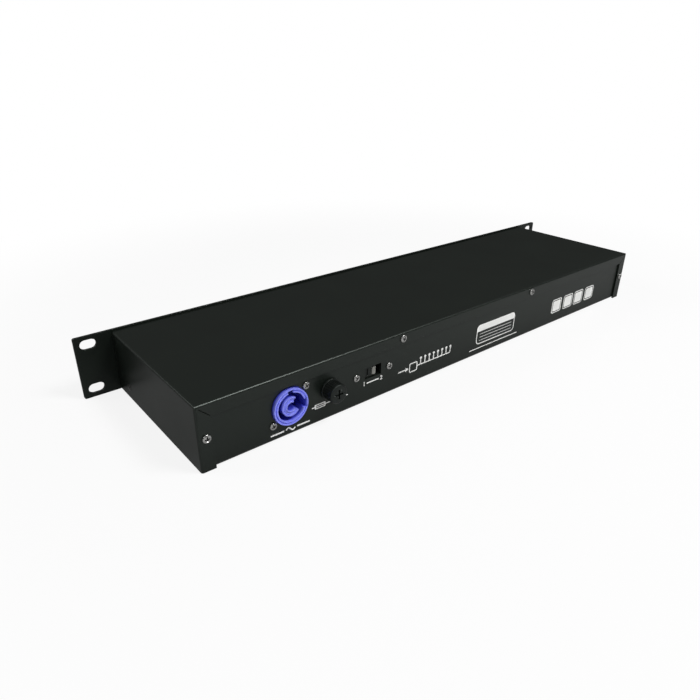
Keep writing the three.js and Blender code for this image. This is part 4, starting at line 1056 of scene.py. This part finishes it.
# %% Selector
SELECTOR_FRONT = WALL - SHEET - GAP
SELECTOR_HEIGHT = 13
TERMINAL_STEP, TERMINAL = 9, (2, 0.8)
SLIDER_X, SLIDER_Y, SLIDER_Z = limits("selector_slider")
RIDGE_Z = (WINDOW_AT[1] - 2.5, WINDOW_AT[1] + 2.5)


def selector():
    """The selector's housing, with the pocket that its slider moves in."""
    x, z = limits("selector_body")[0], (REAR_LINE - SELECTOR_HEIGHT / 2, REAR_LINE + SELECTOR_HEIGHT / 2)
    housing = prism("Y", (SELECTOR_FRONT - 11, SELECTOR_FRONT), rounded(x, z, [1.0] * 4))
    pocket = beam(WINDOW_AT, WINDOW_WIDTH, WINDOW_HEIGHT, (SELECTOR_FRONT - 5, SELECTOR_FRONT + OVERRUN))
    screws = [name for name in SMALL_SCREWS if "selector" in name]
    return carved(housing, pocket, *shank_holes(screws, (SELECTOR_FRONT - 8.5, SELECTOR_FRONT + OVERRUN)))


def slider():
    """The slider's black plate, with a groove for a screwdriver, and the pale ridge at its end."""
    x0, x1 = SLIDER_X
    face = WALL - 1.0
    plate = block((x0, x1), (SLIDER_Y[0], face), SLIDER_Z)
    groove = block((x1 - 3.1, x1 - 2.1), (face - 0.8, face + OVERRUN), RIDGE_Z)
    ridge = prism("Z", RIDGE_Z, [
        (x0 + 0.2, face - 0.4), (x0 + 3.2, face - 0.4), (x0 + 3.2, face + 0.3), (x0 + 2.4, SLIDER_Y[1]),
        (x0 + 1.0, SLIDER_Y[1]), (x0 + 0.2, face + 0.3),
    ])
    return carved(plate, groove), ridge


show("selector_housing", selector(), "black_nylon", stands_for=["selector_body"], edge=0.25)
show("selector_terminals", gathered(*[
    beam((SELECTOR_X + step * TERMINAL_STEP, REAR_LINE), *TERMINAL, (SELECTOR_FRONT - 16, SELECTOR_FRONT - 10))
    for step in (-1, 0, 1)
]), "nickel_plate", edge=0.1)
plate, ridge = slider()
show("slider_plate", plate, "black_nylon", body="selector_slider", edge=0.15)
show("slider_ridge", ridge, "pale_acetal", body="selector_slider", stands_for=["selector_slider"], edge=0.12)

# %% [markdown]
# ## Data connectors, in a row made by Geometry Nodes
#
# The front has ten round five-contact connectors on one line, so one of each kind is built at x = 0 and a tree
# repeats it: Mesh Line makes a point for each, and Instance on Points sets a copy there. The sockets are black
# nylon with a raised ring, a groove for the plug's shell and a sprung gold sleeve in each contact hole. The two
# inputs are nickel shells round a black insert, with domed gold pins.

# %% Row tree
ROW, given = new_tree("row_of_copies", Count="Int", First="Vector", Pitch="Vector")
places = add(ROW, "GeometryNodeMeshLine", {
    "Count": given["Count"], "Start Location": given["First"], "Offset": given["Pitch"],
}, mode="OFFSET").outputs[0]
copies = add(ROW, "GeometryNodeInstanceOnPoints", {"Points": places, "Instance": given["Host"]}).outputs[0]
ended(ROW, copies, given)


def show_row(name, shape, places_x, finish, **told):
    """Shows copies of a shape made at x = 0, on a line of evenly spaced places along X."""
    pitch = places_x[1] - places_x[0]
    copies = grown(ROW, finish, shape, Count=len(places_x), First=(places_x[0], 0, 0), Pitch=(pitch, 0, 0))
    show(name, copies, finish, **told)


# %% Connector shapes
MID = (0, LINE)  # the centre line of a connector at x = 0
BARREL, RING = 11.7, 11.2
CONTACT_CIRCLE = 5.4
CONTACTS = [
    (CONTACT_CIRCLE * math.cos(a), LINE + CONTACT_CIRCLE * math.sin(a))
    for a in map(math.radians, range(150, 391, 60))
]
RING_FRONT = FLANGE_FRONT - 0.25
BEFORE_RING = RING_FRONT - OVERRUN


def connector_blank(depth):
    """A flange with a low ring round its mouth, and the barrel behind it."""
    flange = beam(MID, 26, 31, (FLANGE_FRONT, FLANGE_FRONT + 2), 3.0)
    barrel = bar(BARREL, (FLANGE_FRONT + 1, FLANGE_FRONT + 2 + depth), MID, ROUND)
    ring = bar(RING, (RING_FRONT, FLANGE_FRONT + 1), MID, ROUND)
    holes = [
        bar(1.6, (FLANGE_FRONT - 2, FLANGE_FRONT + 3), (side * FLANGE_SCREW_X, LINE - side * FLANGE_SCREW_Z))
        for side in (-1, 1)
    ]
    return carved(fused(flange, barrel, ring), gathered(*holes))


def socket():
    """An output socket, with its groove, contact holes and the notches for its latch."""
    end = FLANGE_FRONT + 13
    groove = turned([(7.9, BEFORE_RING), (9.7, BEFORE_RING), (9.7, end), (7.9, end)], MID)
    tab = block((-4.8, 4.8), (BEFORE_RING, PANEL_FRONT - GAP), (LINE + 10.2, LINE + 16.5))
    stem = block((-2.4, 2.4), (BEFORE_RING, FLANGE_FRONT + 14), (LINE + 9.4, LINE + 12.7))
    holes = gathered(*[bar(1.1, (BEFORE_RING, FLANGE_FRONT + 9), place, 20) for place in CONTACTS])
    return carved(connector_blank(22), groove, tab, stem, holes)


def sleeves():
    """The gold sleeves in a socket's contact holes."""
    start, end = FLANGE_FRONT + 0.8, FLANGE_FRONT + 8.8
    profile = [(1.05, start), (1.05, end), (0.7, end), (0.7, start + 0.25)]
    return gathered(*[turned(profile, place, 20) for place in CONTACTS])


def input_shell():
    """An input's nickel shell, with the well for the cable's socket and the groove for its key."""
    well = bar(9.6, (BEFORE_RING, FLANGE_FRONT + 16), MID, ROUND)
    key = block((-2.2, 2.2), (BEFORE_RING, FLANGE_FRONT + 4), (LINE, LINE + 10.8))
    return carved(connector_blank(20), well, key)


def input_pins():
    """Five pins with domed tips."""
    foot = FLANGE_FRONT + 14.4
    profile = [*arc(1.0, FLANGE_FRONT + 2.4 + 1, range(0, 91, 15)), (1.0, foot), (0, foot)]
    return gathered(*[turned(profile, place, 20) for place in CONTACTS])


SOCKETS = [f"output_{i}_socket" for i in OUTPUTS]
SHELLS, INSERTS = ([f"input_{letter}_{part}" for letter in "ab"] for part in ("shell", "pins"))
insert = bar(9.45, (FLANGE_FRONT + 12.9, FLANGE_FRONT + 15.9), MID, ROUND)
foot = block((-10.5, 10.5), (-57.0, FLANGE_FRONT + 22), (7.7, LINE - 8))
print("contacts at", [tuple(round(v, 1) for v in place) for place in CONTACTS])

# %% Rows of connectors
show_row("output_sockets", socket(), OUTPUT_X, "black_nylon", stands_for=SOCKETS, edge=0.25)
show_row("output_sleeves", sleeves(), OUTPUT_X, "gold_plate")
show_row("input_shells", input_shell(), INPUT_X, "nickel_plate", stands_for=SHELLS, edge=0.3, edge_steps=3)
show_row("input_inserts", insert, INPUT_X, "black_nylon", stands_for=INSERTS, edge=0.2)
show_row("input_pins", input_pins(), INPUT_X, "gold_plate")
show_row("connector_feet", foot, INPUT_X + OUTPUT_X, "black_nylon", edge=0.3)

# %% [markdown]
# ## Latches, toggles and the power switch
#
# Each of these moves on its own body, so each is its own piece. A latch is a thumb tab on a spring stem. A toggle
# lever is turned steel with a ball at its pivot, and its bushing has a real thread, which a tree winds: Curve
# Spiral is the helix and Curve to Mesh gives it a small round ridge.

# %% Latches
TAB_BACK = FLANGE_FRONT - 0.3
GRIP_RISES = (11.9, 12.9, 13.9)


def latch():
    """The thumb tab with three grip grooves, and its stem, at x = 0."""
    tab = prism("Y", (TAB_BACK - 1.9, TAB_BACK), rounded((-4.5, 4.5), (LINE + 10.5, LINE + 15.3), [1.0] * 4))
    stem = block((-2.1, 2.1), (TAB_BACK - 0.95, TAB_BACK + 10.4), (LINE + 10.5, LINE + 11.5))
    grooves = [beam((0, LINE + rise), 6.6, 0.5, (TAB_BACK - 2.5, TAB_BACK - 1.5)) for rise in GRIP_RISES]
    return carved(fused(tab, stem), gathered(*grooves))


def show_each(label, body, shape, places_x, edge=0.0):
    """Shows a copy of a shape for each output, each on the body that it moves with."""
    for i, x in zip(OUTPUTS, places_x):
        node = body.format(i)
        show(f"{label}_{i}", moved(shape, x), "nickel_plate", body=node, stands_for=[node], edge=edge)


show_each("latch", "output_{}_latch", latch(), OUTPUT_X, 0.2)

# %% Thread tree
THREAD, given = new_tree("thread", Turns="Float", Radius="Float", Height="Float", Ridge="Float")
helix = add(THREAD, "GeometryNodeCurveSpiral", {
    "Resolution": 32, "Rotations": given["Turns"], "Start Radius": given["Radius"], "End Radius": given["Radius"],
    "Height": given["Height"],
}).outputs[0]
ridge = add(THREAD, "GeometryNodeCurvePrimitiveCircle", {"Resolution": 6, "Radius": given["Ridge"]}).outputs[0]
wound = add(THREAD, "GeometryNodeCurveToMesh", {
    "Curve": helix, "Profile Curve": ridge, "Fill Caps": True,
}).outputs[0]
upright = add(THREAD, "GeometryNodeTransform", {
    "Geometry": wound, "Rotation": (math.radians(90), 0, 0),
}).outputs[0]
ended(THREAD, upright, given)

# %% Toggles
TOGGLE_BODIES = [f"toggle_{i}_body" for i in OUTPUTS]
BUSHING_FRONT, BUSHING_BACK, PIVOT_Y = -68.0, -58.9, -66.0
NUT_FRONT, NUT_BACK, NUT = -64.1, -62.5, 4.6
LEVER_TILT = Matrix.Rotation(math.radians(-13), 4, "X")


def toggle_body():
    """A toggle's case, and its bushing, washer, nut and terminals, at x = 0."""
    case = beam(MID, 8, 13, (-59.9, -50.4), 0.6)
    bushing = turned([
        (0, -63.4), (2.2, -63.4), (2.2, BUSHING_FRONT), (2.65, BUSHING_FRONT), (2.95, BUSHING_FRONT + 0.3),
        (2.95, BUSHING_BACK), (0, BUSHING_BACK),
    ], MID)
    washer = turned([(3.1, -62.5), (4.3, -62.5), (4.3, -62.1), (3.1, -62.1)], MID)
    cone = turned([(0, NUT_FRONT), (4.05, NUT_FRONT), (NUT, -63.7), (NUT, NUT_BACK), (0, NUT_BACK)], MID)
    hexagon = prism("Y", (NUT_FRONT, NUT_BACK), circle(NUT, MID, 6))
    nut = carved(combined("INTERSECT", hexagon, [cone]), bar(3.05, (-65, -61), MID))
    terminals = [beam((0, LINE + step * 4.7), 1, 2.4, (-51.4, -46.4)) for step in (-1, 0, 1)]
    return case, gathered(bushing, washer, nut, *terminals)


def lever():
    """A toggle's lever: a ball at the pivot, a thin neck and a round tip, tilted up about the pivot."""
    tip, ball = arc(1.5, -10.4, range(0, 91, 15)), arc(1.9, 0.0, range(40, 180, 14))
    shape = turned([*tip, (1.42, -9.6), (1.1, -4.0), (1.1, -1.6), *ball, (0, 1.9)], steps=FINE)
    return moved(shape, 0, PIVOT_Y, LINE, LEVER_TILT)


case_shape, metal_shape = toggle_body()
show_row("toggle_cases", case_shape, TOGGLE_X, "black_nylon", stands_for=TOGGLE_BODIES, edge=0.2)
show_row("toggle_bushings", metal_shape, TOGGLE_X, "nickel_plate", edge=0.08)
thread = grown(THREAD, "nickel_plate", Turns=6.5, Radius=2.92, Height=3.3, Ridge=0.17)
show_row("toggle_threads", moved(thread, 0, -64.3, LINE), TOGGLE_X, "nickel_plate")
show_each("lever", "toggle_{}_lever", lever(), TOGGLE_X)

# %% Power switch, rocker and lamp
ROCKER_AT = (SWITCH_AT[0], -61.0, LINE)  # its pivot
ROCKER_RADIUS, EDGE_RISE, MIDDLE_RISE, SKIRT = 8.6, 3.4, 2.2, 3.0
ROCKER_TILT = Matrix.Rotation(math.radians(8), 4, "X")
LENS_RADIUS, LENS_FLANGE = 1.5, 2.0


def switch_body():
    """The switch's bezel and body, with the pocket that the rocker tilts in."""
    front = PANEL_FRONT - GAP - 1.5
    bezel = beam(SWITCH_AT, 15, 21, (front, PANEL_FRONT - GAP), 1.0)
    body = beam(SWITCH_AT, 12.6, 18.8, (front + 0.75, PANEL_FRONT + 17))
    return carved(fused(bezel, body), beam(SWITCH_AT, 10.8, 17.8, (front - OVERRUN, ROCKER_AT[1] + 5)))


def rocker():
    """The rocker about its pivot: two ends on one circle, and a shallow V in front."""
    high, low = math.asin(EDGE_RISE / ROCKER_RADIUS), math.asin(SKIRT / ROCKER_RADIUS)
    angles = [-high + (high + low) * i / 12 for i in range(13)]
    lower = [(ROCKER_RADIUS * math.sin(a), -ROCKER_RADIUS * math.cos(a)) for a in angles]
    upper = [(y, -z) for y, z in reversed(lower)]
    return moved(prism("X", (-5.1, 5.1), [(-MIDDLE_RISE, 0.0), *lower, *upper]), *ROCKER_AT, ROCKER_TILT)


def lens():
    """The lamp's lens: a dome in front of the panel, and a flange behind it."""
    seat, end = PANEL_BACK + 0.1, PANEL_BACK + 3.5
    dome = arc(LENS_RADIUS, PANEL_FRONT - 0.3, range(0, 91, 10))
    return turned([*dome, (LENS_RADIUS, seat), (LENS_FLANGE, seat), (LENS_FLANGE, end), (0, end)], LAMP_AT, FINE)


show("switch_housing", switch_body(), "black_nylon", stands_for=["power_switch_body"], edge=0.35, edge_steps=3)
show("switch_terminals", gathered(*[
    beam((SWITCH_AT[0], LINE + side * 4), 4.8, 0.8, (PANEL_FRONT + 16, PANEL_FRONT + 24)) for side in (-1, 1)
]), "nickel_plate", edge=0.1)
show(
    "rocker_paddle", rocker(), "black_nylon", body="power_rocker", stands_for=["power_rocker"],
    edge=0.35, edge_steps=3,
)
show("lamp_lens", lens(), "lamp_green", stands_for=["power_lamp"])

# %% [markdown]
# ## Screen print
#
# White ink marks what each connector and switch is. It says so in signs that any such box has: numbers, the signs
# of a mains wave and a fuse, a drawing of one line that feeds eight, a ruled field to write on, and plain tiles.
# The ink is a film a few hundredths of a millimetre thick. Letters come from Blender's own font, and both they
# and the drawn lines are made meshes before they are placed on their wall.

# %% Print helpers
INK_FILM = 0.06
ON_REAR = Matrix(((-1, 0, 0), (0, 0, 1), (0, 1, 0)))
ON_FRONT = Matrix(((1, 0, 0), (0, 0, -1), (0, 1, 0)))


def lettering(words, size):
    """Letters of this height, centred."""
    text = bpy.data.curves.new("letters", "FONT")
    text.body, text.size, text.extrude, text.offset = words, size * 1.4, INK_FILM / 2, size * 0.03
    text.align_x, text.align_y, text.resolution_u = "CENTER", "CENTER", 5
    return evaluated(new_object("carrier", text))


def stroke(points, width, closed=False):
    """A line of this width with round ends."""
    curve = bpy.data.curves.new("stroke", "CURVE")
    curve.dimensions, curve.bevel_depth, curve.bevel_resolution, curve.use_fill_caps = "3D", width / 2, 2, True
    spline = curve.splines.new("POLY")
    spline.points.add(len(points) - 1)
    for point, (u, v) in zip(spline.points, points):
        point.co = (u, v, 0, 1)
    spline.use_cyclic_u = closed
    shape = evaluated(new_object("carrier", curve))
    shape.transform(Matrix.Diagonal((1, 1, INK_FILM / width, 1)))
    return shape


def rule(length, width):
    """A straight level line."""
    return stroke([(-length / 2, 0), (length / 2, 0)], width)


def outlined(u, v, radius, width):
    """A line round a rectangle with rounded corners."""
    return stroke(rounded(u, v, [radius] * 4), width, closed=True)


def wave(length, height, width, steps=24):
    """One sine wave."""
    turns = [i / steps for i in range(steps + 1)]
    return stroke([(length * (t - 0.5), height / 2 * math.sin(2 * math.pi * t)) for t in turns], width)


def filled(outline):
    """A filled outline."""
    return prism("Z", (-INK_FILM / 2, INK_FILM / 2), outline)


def print_wall(name, turn, face, marks):
    """Shows the ink on a wall whose outer face is at this y, from drawings and the x and z of their middles."""
    show(name, gathered(*[moved(mark, x, face, z, turn) for mark, x, z in marks]), "ink")


# %% Rear print
BOLD, MEDIUM = 0.8, 0.7  # widths of the lines
DIGIT = 3.0
INLET_MARK_Z, FUSE_MARK_Z, SELECTOR_MARK_Z = 4.5, 12.2, 14.6
TILES_X, TILE_Z = (-113.8, -130.6, -146.6, -163.6), 15.8


def one_to_eight():
    """One line that feeds eight, left to right as read from behind, 52 mm wide."""
    marks = [
        stroke([(-26, 0), (-18, 0)], BOLD), filled([(-19.2, -1.6), (-19.2, 1.6), (-16.2, 0)]),
        outlined((-15.2, -8.2), (-3.2, 3.2), 1.0, BOLD), stroke([(-8.2, 0), (25.5, 0)], BOLD),
    ]
    for i in OUTPUTS:
        u = -9 + 4.3 * i
        marks += [stroke([(u, 0), (u, 4.2)], BOLD), filled(circle(1.0, (u, 5.0), 16))]
    return gathered(*marks)


def write_on_field():
    """A rounded frame with a filled head and three ruled lines."""
    return gathered(
        outlined((-22.4, 22.4), (-7.6, 7.6), 3.0, BOLD),
        filled(rounded((-22.4, 22.4), (2.6, 7.6), (0, 0, 3.0, 3.0))),
        *[stroke([(-19, v), (19, v)], 0.4) for v in (0.2, -2.4, -5.0)],
    )


def tile():
    """A rounded tile with a thin line left free inside its edge."""
    return gathered(
        outlined((-6.4, 6.4), (-5.8, 5.8), 1.8, BOLD), filled(rounded((-5.2, 5.2), (-4.6, 4.6), [1.2] * 4)),
    )


print_wall("rear_print", ON_REAR, WALL, [
    (wave(6.5, 2.4, 0.95), INLET_AT[0], INLET_MARK_Z),
    (stroke([(-14, 0), (-4.6, 0)], 1.1), INLET_AT[0], INLET_MARK_Z),
    (stroke([(4.6, 0), (14, 0)], 1.1), INLET_AT[0], INLET_MARK_Z),
    (rule(28, MEDIUM), FUSE_AT[0], FUSE_MARK_Z),
    (outlined((-11.5, -4), (-1.3, 1.3), 0.2, MEDIUM), FUSE_AT[0], FUSE_MARK_Z),
    (lettering("1", DIGIT), SELECTOR_X + 7.4, SELECTOR_MARK_Z),
    (rule(10.4, 0.9), SELECTOR_X, SELECTOR_MARK_Z),
    (lettering("2", DIGIT), SELECTOR_X - 7.4, SELECTOR_MARK_Z),
    (one_to_eight(), 44.4, 12.6),
    (write_on_field(), -32.7, 17.3),
    (rule(58, MEDIUM), -32.0, 6.1),
    *[(tile(), x, TILE_Z) for x in TILES_X],
])

# %% Front print
MARK_Z, RULE_Z = 40.4, 3.4
THIN = 0.5
NAMES = [*zip("12345678", OUTPUT_X), *zip("AB", INPUT_X)]

print_wall("front_print", ON_FRONT, PANEL_FRONT, [
    *[(lettering(name, DIGIT), x, MARK_Z) for name, x in NAMES],
    *[(lettering(name, 2.2), x, LINE + rise) for x in TOGGLE_X for name, rise in (("A", 8.6), ("B", -8.6))],
    (wave(4, 1.6, THIN), LAMP_AT[0], LINE + 6),
    *[(rule(33, THIN), x, RULE_Z) for x in INPUT_X],
    (stroke([(OUTPUT_X[0] - 13, 0), (OUTPUT_X[-1] + 13, 0)], THIN), 0, RULE_Z),
])

# %% [markdown]
# The rocker's two signs ride with the rocker: a bar for on and a ring for off, each on its own slope of the V.

# %% Rocker print
SIGN, SIGN_WIDTH = 1.6, 0.6
slope = Vector((0, MIDDLE_RISE - EDGE_RISE, math.sqrt(ROCKER_RADIUS**2 - EDGE_RISE**2)))
half_way = Vector((0, -MIDDLE_RISE, 0)) + slope / 2
bar_sign, ring_sign = stroke([(0, -SIGN), (0, SIGN)], SIGN_WIDTH), stroke(circle(SIGN, steps=24), SIGN_WIDTH, True)
signs = []
for side, sign in ((1, bar_sign), (-1, ring_sign)):
    along = Vector((0, slope.y * side, slope.z)).normalized()
    on_slope = Matrix((Vector((1, 0, 0)), along, Vector((1, 0, 0)).cross(along))).transposed()
    signs.append(moved(moved(sign, 0, half_way.y, half_way.z * side, on_slope), *ROCKER_AT, ROCKER_TILT))
show("rocker_signs", gathered(*signs), "ink", body="power_rocker")
